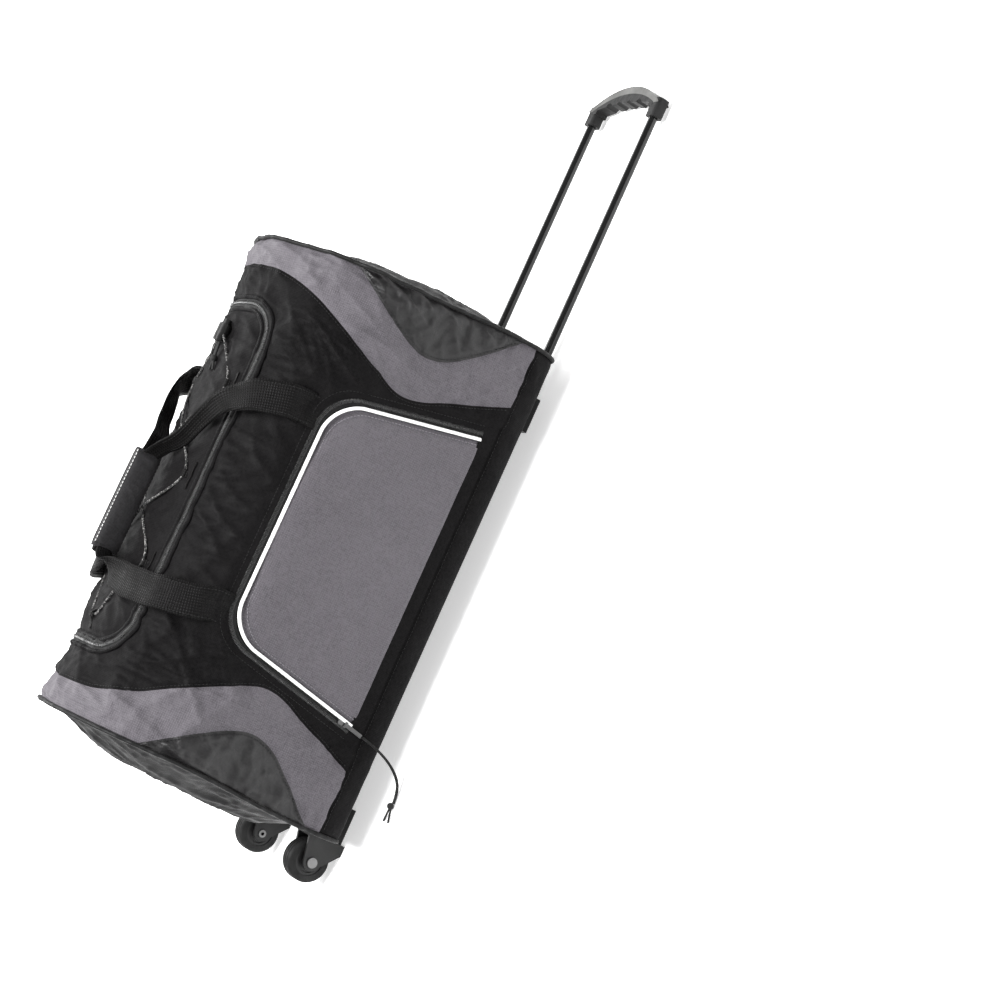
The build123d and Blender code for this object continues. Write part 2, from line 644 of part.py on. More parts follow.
# ---- Screws that hold the brackets to the base board ------------------------------------------
def make_base_screws():
    group = None
    spots = [(GUIDE_X - 10, side * (TUBE_Y - 10.2)) for side in (-1, 1)]
    spots += [(GUIDE_X - 10, side * (TUBE_Y + 10.2)) for side in (-1, 1)]
    spots += [(PLATE_X + 30, side * (TUBE_Y - 10.2)) for side in (-1, 1)]
    spots += [(PLATE_X + 30, side * (TUBE_Y + 10.2)) for side in (-1, 1)]
    top = BASE_Z + WALL + BOARD
    for x, y in spots:
        screw = rod((x, y, 8), (x, y, top), 1.6) + rod((x, y, top), (x, y, top + 2.2), 3.6)
        group = screw if group is None else group + screw
    return group


screws = make_base_screws()
save("base_screws", screws)
shell_tube = make_shell_panels(screws)
make_end_panels()
make_end_piping()
make_lid(shell_tube)
make_base_board(screws)
make_pocket(shell_tube)
make_pocket_slider()
make_pull_cord()
make_straps()
make_wrap()
make_lacing()
make_cord_tails()
make_cord_lock()
make_tubes()
make_guides(screws)
make_wheel_brackets(screws)
make_wheels()
make_grip()
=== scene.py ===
import json
import math

import bmesh
import bpy
import numpy as np
from mathutils import Matrix, Vector


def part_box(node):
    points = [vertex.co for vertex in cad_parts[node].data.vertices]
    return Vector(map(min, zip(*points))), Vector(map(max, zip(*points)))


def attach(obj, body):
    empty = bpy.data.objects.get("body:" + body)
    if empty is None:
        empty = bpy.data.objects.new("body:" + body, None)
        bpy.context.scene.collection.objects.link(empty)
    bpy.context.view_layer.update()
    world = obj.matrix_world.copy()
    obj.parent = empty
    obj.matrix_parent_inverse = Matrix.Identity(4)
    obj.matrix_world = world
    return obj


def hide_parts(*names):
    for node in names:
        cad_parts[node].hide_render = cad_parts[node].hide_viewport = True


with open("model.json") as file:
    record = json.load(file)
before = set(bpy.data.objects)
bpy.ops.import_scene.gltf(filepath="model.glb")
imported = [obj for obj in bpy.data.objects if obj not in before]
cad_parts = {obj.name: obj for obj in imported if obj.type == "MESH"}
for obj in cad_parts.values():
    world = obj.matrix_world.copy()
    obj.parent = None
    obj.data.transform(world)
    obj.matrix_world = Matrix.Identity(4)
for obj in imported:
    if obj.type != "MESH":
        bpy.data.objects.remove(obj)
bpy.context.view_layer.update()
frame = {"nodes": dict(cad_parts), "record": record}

# Lengths in this script are millimetres in the bag's own frame: x from the bag's middle, y and z
# as in the CAD. to_row() turns them into the row frame's metres when a mesh is made. Materials, the
# camera and the lights are in metres.

# ---- Sizes read from the frame ----
MM = 1000.0
BODY_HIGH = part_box("main_body")[1] * MM
BASE_LOW, BASE_HIGH = (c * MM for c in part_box("base_panel"))
BAG_X = (BASE_LOW.x + BASE_HIGH.x) / 2
HALF_WIDTH = (BASE_HIGH.y - BASE_LOW.y) / 2
BASE_Z = BASE_LOW.z
BASE_SEAM_Z = BASE_HIGH.z
TOP_Z = BODY_HIGH.z
CORNER = 38.0  # rounded lower edges
SPRING_Z = 225.0  # where the flat sides turn into the crown


def to_row(points):
    return (np.asarray(points, float) + np.array([BAG_X, 0.0, 0.0])) / MM


# ---- Small maths helpers ----
def smooth(t):
    t = np.clip(t, 0.0, 1.0)
    return t * t * (3 - 2 * t)


def unit(vectors):
    """Rows of vectors, each made one long."""
    return vectors / (np.linalg.norm(vectors, axis=1)[:, None] + 1e-12)


def run_along(line):
    """How far along a line each of its points lies."""
    return np.r_[0, np.cumsum(np.linalg.norm(np.diff(line, axis=0), axis=1))]


def evenly(line, step):
    """The same flat (x, g) line with points about step apart, as its x and its g."""
    along = run_along(line)
    even = np.linspace(0, along[-1], int(along[-1] / step) + 1)
    return np.interp(even, along, line[:, 0]), np.interp(even, along, line[:, 1])


def curve_through(points, at):
    """A smooth curve through (t, value) points, read where at says."""
    t = np.array([p[0] for p in points], float)
    v = np.array([p[1] for p in points], float)
    slope = np.gradient(v, t)
    at = np.clip(np.asarray(at, float), t[0], t[-1])
    i = np.clip(np.searchsorted(t, at, side="right") - 1, 0, len(t) - 2)
    span = t[i + 1] - t[i]
    s = (at - t[i]) / span
    h00 = 2 * s ** 3 - 3 * s ** 2 + 1
    h10 = s ** 3 - 2 * s ** 2 + s
    h01 = -2 * s ** 3 + 3 * s ** 2
    h11 = s ** 3 - s ** 2
    return h00 * v[i] + h10 * span * slope[i] + h01 * v[i + 1] + h11 * span * slope[i + 1]


def path_through(points, step):
    """A smooth line through 3-D points, as evenly spaced points about step apart."""
    points = np.array(points, float)
    chord = run_along(points)
    fine = np.linspace(0, chord[-1], max(int(chord[-1] / step * 4), 40))
    line = np.stack([curve_through(list(zip(chord, column)), fine) for column in points.T], 1)
    along = run_along(line[:, :3])
    even = np.linspace(0, along[-1], max(int(round(along[-1] / step)) + 1, 3))
    return np.stack([np.interp(even, along, column) for column in line.T], 1)


def lattice(seed):
    rng = np.random.default_rng(seed)
    angle = rng.uniform(0, 2 * np.pi, (256, 256))
    return np.cos(angle), np.sin(angle)


def noise2(u, v, seed):
    """Smooth gradient noise from -1 to 1 in two dimensions."""
    gx, gy = lattice(seed)
    u, v = np.broadcast_arrays(np.asarray(u, float), np.asarray(v, float))
    iu, iv = np.floor(u).astype(int), np.floor(v).astype(int)
    fu, fv = u - iu, v - iv
    wu, wv = fu ** 3 * (fu * (fu * 6 - 15) + 10), fv ** 3 * (fv * (fv * 6 - 15) + 10)
    total = 0
    for a in (0, 1):
        for b in (0, 1):
            x, y = (iu + a) % 256, (iv + b) % 256
            value = gx[x, y] * (fu - a) + gy[x, y] * (fv - b)
            total = total + value * (wu if a else 1 - wu) * (wv if b else 1 - wv)
    return total * 1.5


def folds(x, g, angle, length, width, seed):
    """Long soft creases that run at an angle across the cloth, from 0 to 1."""
    c, s = math.cos(math.radians(angle)), math.sin(math.radians(angle))
    along, across = (x * c + g * s) / length, (-x * s + g * c) / width
    bend = noise2(along * 0.7, across * 0.35, seed + 1)
    ridge = 1 - np.abs(noise2(along, across + 0.8 * bend, seed))
    return np.clip(ridge, 0, 1) ** 4


# ---- The bag's surface ----
# A point on it has x and a girth g: 0 along the crown, negative down the front, positive down the back.
def girth_table():
    phi = np.linspace(0, np.pi / 2, 400)
    crown = np.stack([HALF_WIDTH * np.sin(phi), SPRING_Z + (TOP_Z - SPRING_Z) * np.cos(phi)], 1)
    turn = np.linspace(0, np.pi / 2, 60)
    centre_y, centre_z = HALF_WIDTH - CORNER, BASE_Z + CORNER
    corner = np.stack([centre_y + CORNER * np.cos(turn), centre_z - CORNER * np.sin(turn)], 1)
    line = np.concatenate([crown, corner, [[0.0, BASE_Z]]])
    along = run_along(line)
    keep = np.r_[True, np.diff(along) > 1e-6]
    return along[keep], line[keep]


GIRTH, SECTION = girth_table()
GIRTH_END = GIRTH[-1]
GIRTH_SPRING = float(np.interp(-SPRING_Z, -SECTION[:, 1], GIRTH))
GIRTH_SEAM = GIRTH_SPRING + SPRING_Z - BASE_SEAM_Z
NORMAL_REACH = 4.0  # a normal is read from points this far to either side


def section(g):
    """(y, z) and the outward normal's (y, z) at girth g."""
    a = np.abs(g)
    side = np.where(np.asarray(g) < 0, -1.0, 1.0)

    def at(q):
        q = np.where(q > GIRTH_END, 2 * GIRTH_END - q, q)
        y_there = np.interp(np.abs(q), GIRTH, SECTION[:, 0]) * np.sign(q + 1e-12)
        return y_there, np.interp(np.abs(q), GIRTH, SECTION[:, 1])

    y, z = at(a)
    y0, z0 = at(a - NORMAL_REACH)
    y1, z1 = at(np.minimum(a + NORMAL_REACH, GIRTH_END))
    ty, tz = y1 - y0, z1 - z0
    size = np.hypot(ty, tz) + 1e-9
    return y * side, z, -tz / size * side, ty / size


def girth_of_z(z):
    """The girth of a height on the side of the bag, without its sign."""
    return float(np.interp(-z, -SECTION[:len(SECTION) - 1, 1], GIRTH[:len(GIRTH) - 1]))


# Wavy edges of the grey bands and of the inserts beside them: (girth, distance from the middle).
BAND_EDGE = [(0, 256), (63, 252), (115, 237), (160, 215), (194, 198), (225, 184), (246, 177.5),
             (262, 178), (283, 184), (300, 192), (338, 207), (380, 225)]
INSERT_EDGE = [(132, 293), (143, 287), (172, 268), (200, 250), (228, 235.5), (246, 229), (262, 228),
               (283, 234), (309, 252), (336, 275), (358, 295), (366, 302)]
INSERT_TOP, INSERT_FOOT = 136.0, 360.0
END_SEAM_TOP, END_SEAM_LEAN = 288.0, 11.0


def band_edge(g):
    return curve_through(BAND_EDGE, np.abs(g))


def end_seam(g):
    """The end seams lean out a little towards the base."""
    return END_SEAM_TOP + END_SEAM_LEAN * smooth((np.abs(g) - 170.0) / 200.0)


def insert_edge(g):
    return np.minimum(curve_through(INSERT_EDGE, np.abs(g)), end_seam(g))


POCKET_FOOT, POCKET_HEAD = 174.0, 136.0  # half the flap's width at its lower and upper edges
POCKET_LOW_Z, POCKET_HIGH_Z, POCKET_CORNER = 78.0, 254.0, 36.0
POCKET_LOW_G, POCKET_HIGH_G = -girth_of_z(POCKET_LOW_Z), -girth_of_z(POCKET_HIGH_Z)
LEAN = (POCKET_FOOT - POCKET_HEAD) / (POCKET_HIGH_G - POCKET_LOW_G)
ZIP_MIDDLE = 9.0  # from the pocket flap's edge out to the middle of its zipper
LID_HALF_X, LID_HALF_G, LID_CORNER = 206.0, 75.0, 44.0


def pocket_distance(x, g, grow=0.0):
    """How far inside the pocket flap's three zipped edges a point is; negative outside."""
    slant = math.hypot(1, LEAN)
    side = (POCKET_FOOT - LEAN * (g - POCKET_LOW_G) - np.abs(x)) / slant + grow
    top = POCKET_HIGH_G + grow - g
    r = POCKET_CORNER + grow
    a, b = np.maximum(r - side, 0), np.maximum(r - top, 0)
    return np.where((side < r) & (top < r), r - np.hypot(a, b), np.minimum(side, top))


def lid_distance(x, g):
    """How far inside the lid's rounded outline a point is; negative outside."""
    side, edge = LID_HALF_X - np.abs(x), LID_HALF_G - np.abs(g)
    a, b = np.maximum(LID_CORNER - side, 0), np.maximum(LID_CORNER - edge, 0)
    rounded = (side < LID_CORNER) & (edge < LID_CORNER)
    return np.where(rounded, LID_CORNER - np.hypot(a, b), np.minimum(side, edge))


# Sets of long creases: height, their angle in degrees, length, width, seed of the noise.
SHOULDER_FOLDS = ((4.6, 64, 150, 40, 21), (3.4, -52, 120, 34, 24), (3.0, 88, 110, 24, 26))
END_FOLDS = ((2.8, 78, 130, 28, 27), (1.8, 30, 90, 24, 28))
LOW_FOLDS = ((2.2, 12, 120, 26, 31), (2.0, -38, 110, 30, 32))
LID_FOLDS = ((2.4, 70, 90, 26, 33), (1.6, -60, 80, 22, 34))
STRAP_PULLS = (-116.0, 118.0)  # where the carry straps lift the cloth


def fold_sets(x, g, sets):
    return sum(height * folds(x, g, *shape) for height, *shape in sets)


def calmness(a, g, inside):
    """1 where the cloth is free to crease, down to 0 along the pocket's zipper."""
    calm = 1 - 0.8 * smooth((inside + 20) / 26) * (g < 0)
    calm = calm * (1 - 0.9 * smooth((a - 375) / 30))
    return calm * np.where(g < 0, smooth((np.abs(inside + ZIP_MIDDLE) - ZIP_MIDDLE) / ZIP_MIDDLE), 1.0)


def relief(x, g):
    """How far the cloth stands off the plain shell, in mm: fullness, pulls and creases."""
    x, g = np.broadcast_arrays(np.asarray(x, float), np.asarray(g, float))
    a = np.abs(g)
    inside = pocket_distance(x, g)
    calm = calmness(a, g, inside)
    lid_line = 1 - 0.55 * smooth((16 - np.abs(lid_distance(x, g))) / 16)
    cloth = 2.8 * noise2(x / 120 + 3.1, g / 105, 11) + 1.3 * noise2(x / 52, g / 46 + 7.7, 12)
    shoulder = smooth((a - 72) / 26) * smooth((262 - a) / 60)
    cloth = cloth + shoulder * (fold_sets(x, g, SHOULDER_FOLDS) - 2.4)
    cloth = cloth + smooth((np.abs(x) - 105) / 60) * fold_sets(x, g, END_FOLDS)
    cloth = cloth + smooth((a - 240) / 60) * fold_sets(x, g, LOW_FOLDS)
    cloth = cloth + smooth((72 - a) / 20) * fold_sets(x, g, LID_FOLDS)
    sag = -3.5 * smooth(1 - a / 90) * np.cos(np.pi * np.clip(x / 240, -1, 1) / 2)
    stuffed = 9.0 * smooth((np.abs(x) - 205) / 75) * smooth(1 - a / 120)
    pull = sum(3.0 * np.exp(-((x - at) / 30) ** 2 - ((a - 150) / 34) ** 2) for at in STRAP_PULLS)
    dent = (3.6 * np.exp(-((x + 25) / 75) ** 2 - ((g + 262) / 44) ** 2)
            * (g < 0) * smooth((inside - 6) / 30))
    return cloth * calm * lid_line + sag + stuffed + pull * calm - dent - 1.0


def skin(x, g, lift=0.0):
    """Points of the cloth's surface, raised by lift along its normal."""
    x, g = np.broadcast_arrays(np.asarray(x, float), np.asarray(g, float))
    y, z, ny, nz = section(g)
    off = relief(x, g) + lift
    return np.stack([x, y + ny * off, z + nz * off], -1)


# ---- Mesh building ----
def add_object(name, data):
    obj = bpy.data.objects.new(name, data)
    bpy.context.scene.collection.objects.link(obj)
    return obj


def mesh_object(name, points, faces, uvs=None):
    mesh = bpy.data.meshes.new(name)
    mesh.from_pydata([tuple(p) for p in to_row(points)], [], faces)
    if uvs is not None:
        layer = mesh.uv_layers.new(name="flat")
        index = np.empty(len(mesh.loops), int)
        mesh.loops.foreach_get("vertex_index", index)
        layer.data.foreach_set("uv", (np.asarray(uvs, float)[index] / MM).astype(np.float32).ravel())
    mesh.update()
    mesh.polygons.foreach_set("use_smooth", np.ones(len(mesh.polygons), bool))
    return add_object(name, mesh)


def tidy(obj, distance=0.05):
    """Merge coincident points and drop faces that have no area."""
    bm = bmesh.new()
    bm.from_mesh(obj.data)
    bmesh.ops.remove_doubles(bm, verts=bm.verts, dist=distance / MM)
    bmesh.ops.dissolve_degenerate(bm, edges=bm.edges, dist=distance / MM / 2)
    loose = [v for v in bm.verts if not v.link_faces]
    bmesh.ops.delete(bm, geom=loose, context="VERTS")
    bmesh.ops.recalc_face_normals(bm, faces=bm.faces)
    bm.to_mesh(obj.data)
    bm.free()
    return obj


def even_normals(obj):
    """Turn the faces of a closed mesh outwards."""
    bm = bmesh.new()
    bm.from_mesh(obj.data)
    bmesh.ops.recalc_face_normals(bm, faces=bm.faces)
    bm.to_mesh(obj.data)
    bm.free()
    return obj


def grid_faces(rows, cols, keep=None):
    faces = []
    for i in range(rows - 1):
        for j in range(cols - 1):
            a, b = i * cols + j, (i + 1) * cols + j
            if keep is None or keep[i, j]:
                faces.append((a, a + 1, b + 1, b))
    return faces


def grid_object(name, points, uvs, keep=None):
    """A sheet from a grid of points, with its flat pattern."""
    rows, cols = points.shape[:2]
    return mesh_object(name, points.reshape(-1, 3), grid_faces(rows, cols, keep), uvs.reshape(-1, 2))


def spread(count, tight=0.35):
    """Fractions from 0 to 1 that crowd a little towards both ends."""
    t = np.linspace(0, 1, count)
    return t - tight * (t - smooth(t))


def thicken(obj, thickness):
    """Give a sheet its thickness, inwards from its outer face."""
    solid = obj.modifiers.new("thickness", "SOLIDIFY")
    solid.thickness = thickness / MM
    solid.offset = -1.0
    solid.use_rim = True
    bpy.context.view_layer.update()
    graph = bpy.context.evaluated_depsgraph_get()
    made = bpy.data.meshes.new_from_object(obj.evaluated_get(graph), preserve_all_data_layers=True,
                                           depsgraph=graph)
    obj.modifiers.clear()
    old = obj.data
    obj.data = made
    bpy.data.meshes.remove(old)
    return obj


def crease(distance, depth=1.7, reach=4.0):
    """Cloth turns in at a seam."""
    return -depth * np.exp(-(np.maximum(distance, 0) / reach) ** 1.5)


def crumpled(x, g):
    """Small sharp dents of a stiff coated cloth."""
    dents = (1.5 * noise2(x / 30 + 5.0, g / 26, 35)
             - 2.6 * np.abs(noise2(x / 40, g / 34 + 2.0, 36)) ** 0.7)
    return dents + fold_sets(x, g, ((2.4, 40, 70, 24, 37), (2.0, -35, 60, 22, 38)))


def patch(name, g_low, g_high, left, right, step=3.0, pillow=1.2, lift=0.0, drop=None, crumple=0.0):
    """A panel between two edge curves x = left(g) and x = right(g), from one girth to another.

    pillow is how far it stands proud in its middle; drop says where it is cut away.
    """
    rows = max(int((g_high - g_low) / step) + 1, 3)
    g = np.linspace(g_low, g_high, rows)
    width = float(np.max(right(g) - left(g)))
    cols = max(int(width / step) + 5, 6)
    u = spread(cols)
    start, end = left(g)[:, None], right(g)[:, None]
    x = start * (1 - u) + end * u
    gg = np.repeat(g[:, None], cols, 1)
    lean_left = np.hypot(1, np.gradient(left(g), g)[:, None])
    lean_right = np.hypot(1, np.gradient(right(g), g)[:, None])
    d = np.minimum((x - start) / lean_left, (end - x) / lean_right)
    full = pillow * smooth(d / 22.0)
    points = skin(x, gg, lift + full + crease(d) + crumple * crumpled(x, gg) * smooth(d / 14.0))
    keep = None
    if drop is not None:
        middle_x = (x[:-1, :-1] + x[1:, 1:]) / 2
        middle_g = (gg[:-1, :-1] + gg[1:, 1:]) / 2
        keep = ~drop(middle_x, middle_g)
    return face_out(tidy(grid_object(name, points, np.stack([x, gg], -1), keep)))


def face_out(obj, centre=(0.0, 0.0, 185.0)):
    """Make the faces point away from the bag's middle."""
    middle = Vector(to_row([centre])[0])
    away = sum(p.normal.dot(p.center - middle) * p.area for p in obj.data.polygons)
    if away < 0:
        obj.data.flip_normals()
    return obj


def frames_along(line, closed=False):
    """Unit tangents and two cross directions along a line, without twist."""
    if closed:
        tangent = np.roll(line, -1, 0) - np.roll(line, 1, 0)
    else:
        tangent = np.gradient(line, axis=0)
    tangent = unit(tangent)
    side = np.zeros_like(line)
    start = np.cross(tangent[0], [0.0, 0.0, 1.0])
    if np.linalg.norm(start) < 0.1:
        start = np.cross(tangent[0], [0.0, 1.0, 0.0])
    current = start / np.linalg.norm(start)
    for i, t in enumerate(tangent):
        current = current - t * current.dot(t)
        current /= np.linalg.norm(current)
        side[i] = current
    return tangent, side, np.cross(tangent, side)


def tube(name, line, radius, sides=10, closed=False, squash=1.0, normals=None):
    """A round bead along a line; radius may change along it, and squash flattens it towards normals."""
    line = np.asarray(line, float)
    tangent, side, up = frames_along(line, closed)
    if normals is not None:
        up = unit(normals - tangent * np.sum(normals * tangent, 1)[:, None])
        side = np.cross(up, tangent)
    radius = np.broadcast_to(np.asarray(radius, float), (len(line),))
    angle = np.linspace(0, 2 * np.pi, sides, endpoint=False)
    ring = (np.cos(angle)[None, :, None] * side[:, None]
            + squash * np.sin(angle)[None, :, None] * up[:, None])
    points = line[:, None] + ring * radius[:, None, None]
    count = len(line)
    uv = np.stack([np.broadcast_to(angle * radius.mean(), (count, sides)),
                   np.repeat(run_along(line)[:, None], sides, 1)], -1)
    faces = []
    for i in range(count if closed else count - 1):
        for j in range(sides):
            k, n = (j + 1) % sides, (i + 1) % count
            faces.append((i * sides + j, i * sides + k, n * sides + k, n * sides + j))
    if not closed:
        faces.append(tuple(range(sides))[::-1])
        faces.append(tuple((count - 1) * sides + j for j in range(sides)))
    return even_normals(mesh_object(name, points.reshape(-1, 3), faces, uv.reshape(-1, 2)))


BACK_FACE_SHIFT = 200.0  # keeps a ribbon's two faces apart on its flat pattern


def ribbon(name, line, across, width, thickness, bow=0.0):
    """Flat webbing along a line. across gives its width direction; its edges are rounded."""
    line = np.asarray(line, float)
    tangent = unit(np.gradient(line, axis=0))
    across = unit(across - tangent * np.sum(across * tangent, 1)[:, None])
    normal = np.cross(tangent, across)
    width = np.broadcast_to(np.asarray(width, float), (len(line),))
    half = thickness / 2
    flat = np.linspace(-1, 1, 9)
    upper = [(w, half if abs(w) < 1 else half * 0.35) for w in flat]
    lower = [(w, -half if abs(w) < 1 else -half * 0.35) for w in flat[::-1]]
    outline = np.array(upper + lower)
    points = (line[:, None]
              + across[:, None] * (outline[None, :, 0, None] * width[:, None, None] / 2)
              + normal[:, None] * (outline[None, :, 1, None] + bow * (1 - outline[None, :, 0, None] ** 2)))
    count, ring = len(line), len(outline)
    uv = np.stack([outline[None, :, 0] * width[:, None] / 2
                   + np.sign(outline[None, :, 1]) * BACK_FACE_SHIFT,
                   np.repeat(run_along(line)[:, None], ring, 1)], -1)
    faces = []
    for i in range(count - 1):
        for j in range(ring):
            k = (j + 1) % ring
            faces.append((i * ring + j, (i + 1) * ring + j, (i + 1) * ring + k, i * ring + k))
    faces.append(tuple(range(ring)))
    faces.append(tuple((count - 1) * ring + j for j in range(ring))[::-1])
    return even_normals(mesh_object(name, points.reshape(-1, 3), faces, uv.reshape(-1, 2)))


def repeated(name, shape, placements):
    """One object of many small copies: shape is (points, faces), a placement (origin, 3x3 axes)."""
    base, base_faces = shape
    points = np.concatenate([base @ axes + origin for origin, axes in placements])
    starts = range(0, len(points), len(base))
    faces = [tuple(start + i for i in face) for start in starts for face in base_faces]
    return mesh_object(name, points, faces)


def bead_shape(length, width, height):
    """A small rounded bar along its first axis, from rings of (place along it, size)."""
    rings = [(-0.5, 0.25), (-0.36, 0.9), (0.0, 1.0), (0.36, 0.9), (0.5, 0.25)]
    sides = 6
    angle = np.linspace(0, 2 * np.pi, sides, endpoint=False)
    points = [(t * length, width / 2 * s * math.cos(a), height / 2 * s * math.sin(a))
              for t, s in rings for a in angle]
    faces = []
    for start in range(0, sides * (len(rings) - 1), sides):
        for j in range(sides):
            k = (j + 1) % sides
            faces.append((start + j, start + k, start + sides + k, start + sides + j))
    faces.append(tuple(range(sides))[::-1])
    faces.append(tuple(range(len(points) - sides, len(points))))
    return np.array(points), faces


def stitches(name, line, normals, pitch=4.2, length=3.0, width=0.75, height=0.55, across=False):
    """A row of separate thread stitches that follows a line on the cloth."""
    along = run_along(line)
    at = np.arange(pitch / 2, along[-1], pitch)

    def read(values, where):
        return np.stack([np.interp(where, along, column) for column in values.T], 1)

    ahead = read(line, at + 1.0) - read(line, at - 1.0)
    placements = []
    for c, t, n in zip(read(line, at), ahead, read(normals, at)):
        t = t / (np.linalg.norm(t) + 1e-9)
        n = n - t * n.dot(t)
        n = n / (np.linalg.norm(n) + 1e-9)
        side = np.cross(n, t)
        placements.append((c, np.array([side, t, n] if across else [t, side, n])))
    return repeated(name, bead_shape(length, width, height), placements)


def on_skin(x, g, lift):
    """A line on the cloth with its normals."""
    _, _, ny, nz = section(g)
    return skin(x, g, lift), np.stack([np.zeros_like(ny), ny, nz], -1)


# ---- Materials ----
def new_material(name):
    mat = bpy.data.materials.new(name)
    mat.use_nodes = True
    tree = mat.node_tree
    return mat, tree, tree.nodes["Principled BSDF"]


def put(made, **values):
    """Set inputs of a node by name, with _ for a space, or settings of its own."""
    for key, value in values.items():
        socket = key.replace("_", " ")
        if socket in made.inputs:
            made.inputs[socket].default_value = value
        else:
            setattr(made, key, value)
    return made


def node(tree, kind, **values):
    return put(tree.nodes.new(kind), **values)


def shade(value):
    """A grey from one number or a colour from three, with full alpha."""
    return (value, value, value, 1.0) if np.isscalar(value) else (*value, 1.0)


def ramp(tree, source, low, high, position=(0.3, 0.7)):
    made = tree.nodes.new("ShaderNodeValToRGB")
    for stop, at, value in zip(made.color_ramp.elements, position, (low, high)):
        stop.position = at
        stop.color = shade(value)
    tree.links.new(source, made.inputs[0])
    return made.outputs[0]


THREAD_WAVE = 0.314  # a wave texture of this scale has one wave to the metre


def weave(tree, pitch, angle=0.0):
    """A plain weave's height, from two crossed sets of threads on the flat pattern of the cloth."""
    uv = node(tree, "ShaderNodeUVMap", uv_map="flat")
    turn = node(tree, "ShaderNodeMapping", Rotation=(0, 0, math.radians(angle)))
    tree.links.new(uv.outputs[0], turn.inputs[0])
    heights = []
    for direction in ("X", "Y"):
        wave = node(tree, "ShaderNodeTexWave", bands_direction=direction, wave_profile="SIN",
                    Scale=THREAD_WAVE / pitch, Distortion=0.6, Detail=1.0, Detail_Scale=2.0)
        tree.links.new(turn.outputs[0], wave.inputs[0])
        heights.append(wave.outputs["Fac"])
    mix = node(tree, "ShaderNodeMath", operation="MULTIPLY")
    tree.links.new(heights[0], mix.inputs[0])
    tree.links.new(heights[1], mix.inputs[1])
    return mix.outputs[0]


def noise(tree, scale, detail=3.0, rough=0.5):
    made = node(tree, "ShaderNodeTexNoise", Scale=scale, Detail=detail, Roughness=rough)
    tree.links.new(node(tree, "ShaderNodeTexCoord").outputs["Object"], made.inputs["Vector"])
    return made.outputs["Fac"]


def times_plus(tree, source, factor, added):
    made = node(tree, "ShaderNodeMath", operation="MULTIPLY_ADD")
    tree.links.new(source, made.inputs[0])
    made.inputs[1].default_value = factor
    tree.links.new(added, made.inputs[2])
    return made.outputs[0]


def bump(tree, bsdf, parts):
    """Chain several heights, each (socket, distance in metres, strength)."""
    normal = None
    for height, distance, strength in parts:
        made = node(tree, "ShaderNodeBump", Strength=strength, Distance=distance)
        tree.links.new(height, made.inputs["Height"])
        if normal is not None:
            tree.links.new(normal, made.inputs["Normal"])
        normal = made.outputs[0]
    tree.links.new(normal, bsdf.inputs["Normal"])


def cloth(name, dark, light, rough, sheen, pitch=0.0012, deep=0.00025, specular=0.35, crumple=0.5):
    """Woven cloth: pitch is its threads' spacing and deep their height, in metres."""
    mat, tree, bsdf = new_material(name)
    threads = weave(tree, pitch)
    patches = times_plus(tree, noise(tree, 9.0), 0.45, noise(tree, 380.0, 2.0))
    blend = times_plus(tree, threads, 0.55, patches)
    tree.links.new(ramp(tree, blend, dark, light, (0.5, 1.15)), bsdf.inputs["Base Color"])
    tree.links.new(ramp(tree, noise(tree, 60.0, 4.0), *rough), bsdf.inputs["Roughness"])
    put(bsdf, Specular_IOR_Level=specular, Sheen_Weight=sheen, Sheen_Roughness=0.45)
    bump(tree, bsdf, [(threads, deep, 0.6), (noise(tree, 90.0, 5.0, 0.6), 0.0012, crumple)])
    return mat


def plastic(name, dark, light, rough, grain=0.00008, scale=900.0, specular=0.5, metallic=0.0, coat=0.0):
    """Plastic, rubber or metal: grain is the height of its roughness, in metres."""
    mat, tree, bsdf = new_material(name)
    tree.links.new(ramp(tree, noise(tree, 25.0, 4.0), dark, light), bsdf.inputs["Base Color"])
    tree.links.new(ramp(tree, noise(tree, 140.0, 4.0), *rough), bsdf.inputs["Roughness"])
    put(bsdf, Specular_IOR_Level=specular, Metallic=metallic, Coat_Weight=coat, Coat_Roughness=0.12)
    bump(tree, bsdf, [(noise(tree, scale), grain, 0.5)])
    return mat


def braided(name, base, fleck, pitch=0.0011):
    """A round braid with lighter flecks in it."""
    mat, tree, bsdf = new_material(name)
    uv = node(tree, "ShaderNodeUVMap", uv_map="flat")
    cells = node(tree, "ShaderNodeTexVoronoi", Scale=820.0)
    tree.links.new(uv.outputs[0], cells.inputs["Vector"])
    picked = node(tree, "ShaderNodeSeparateColor")
    tree.links.new(cells.outputs["Color"], picked.inputs[0])
    tree.links.new(ramp(tree, picked.outputs[0], base, fleck, (0.74, 0.78)), bsdf.inputs["Base Color"])
    put(bsdf, Roughness=0.72, Specular_IOR_Level=0.25, Sheen_Weight=0.06)
    bump(tree, bsdf, [(weave(tree, pitch, 45.0), 0.0004, 0.8)])
    return mat


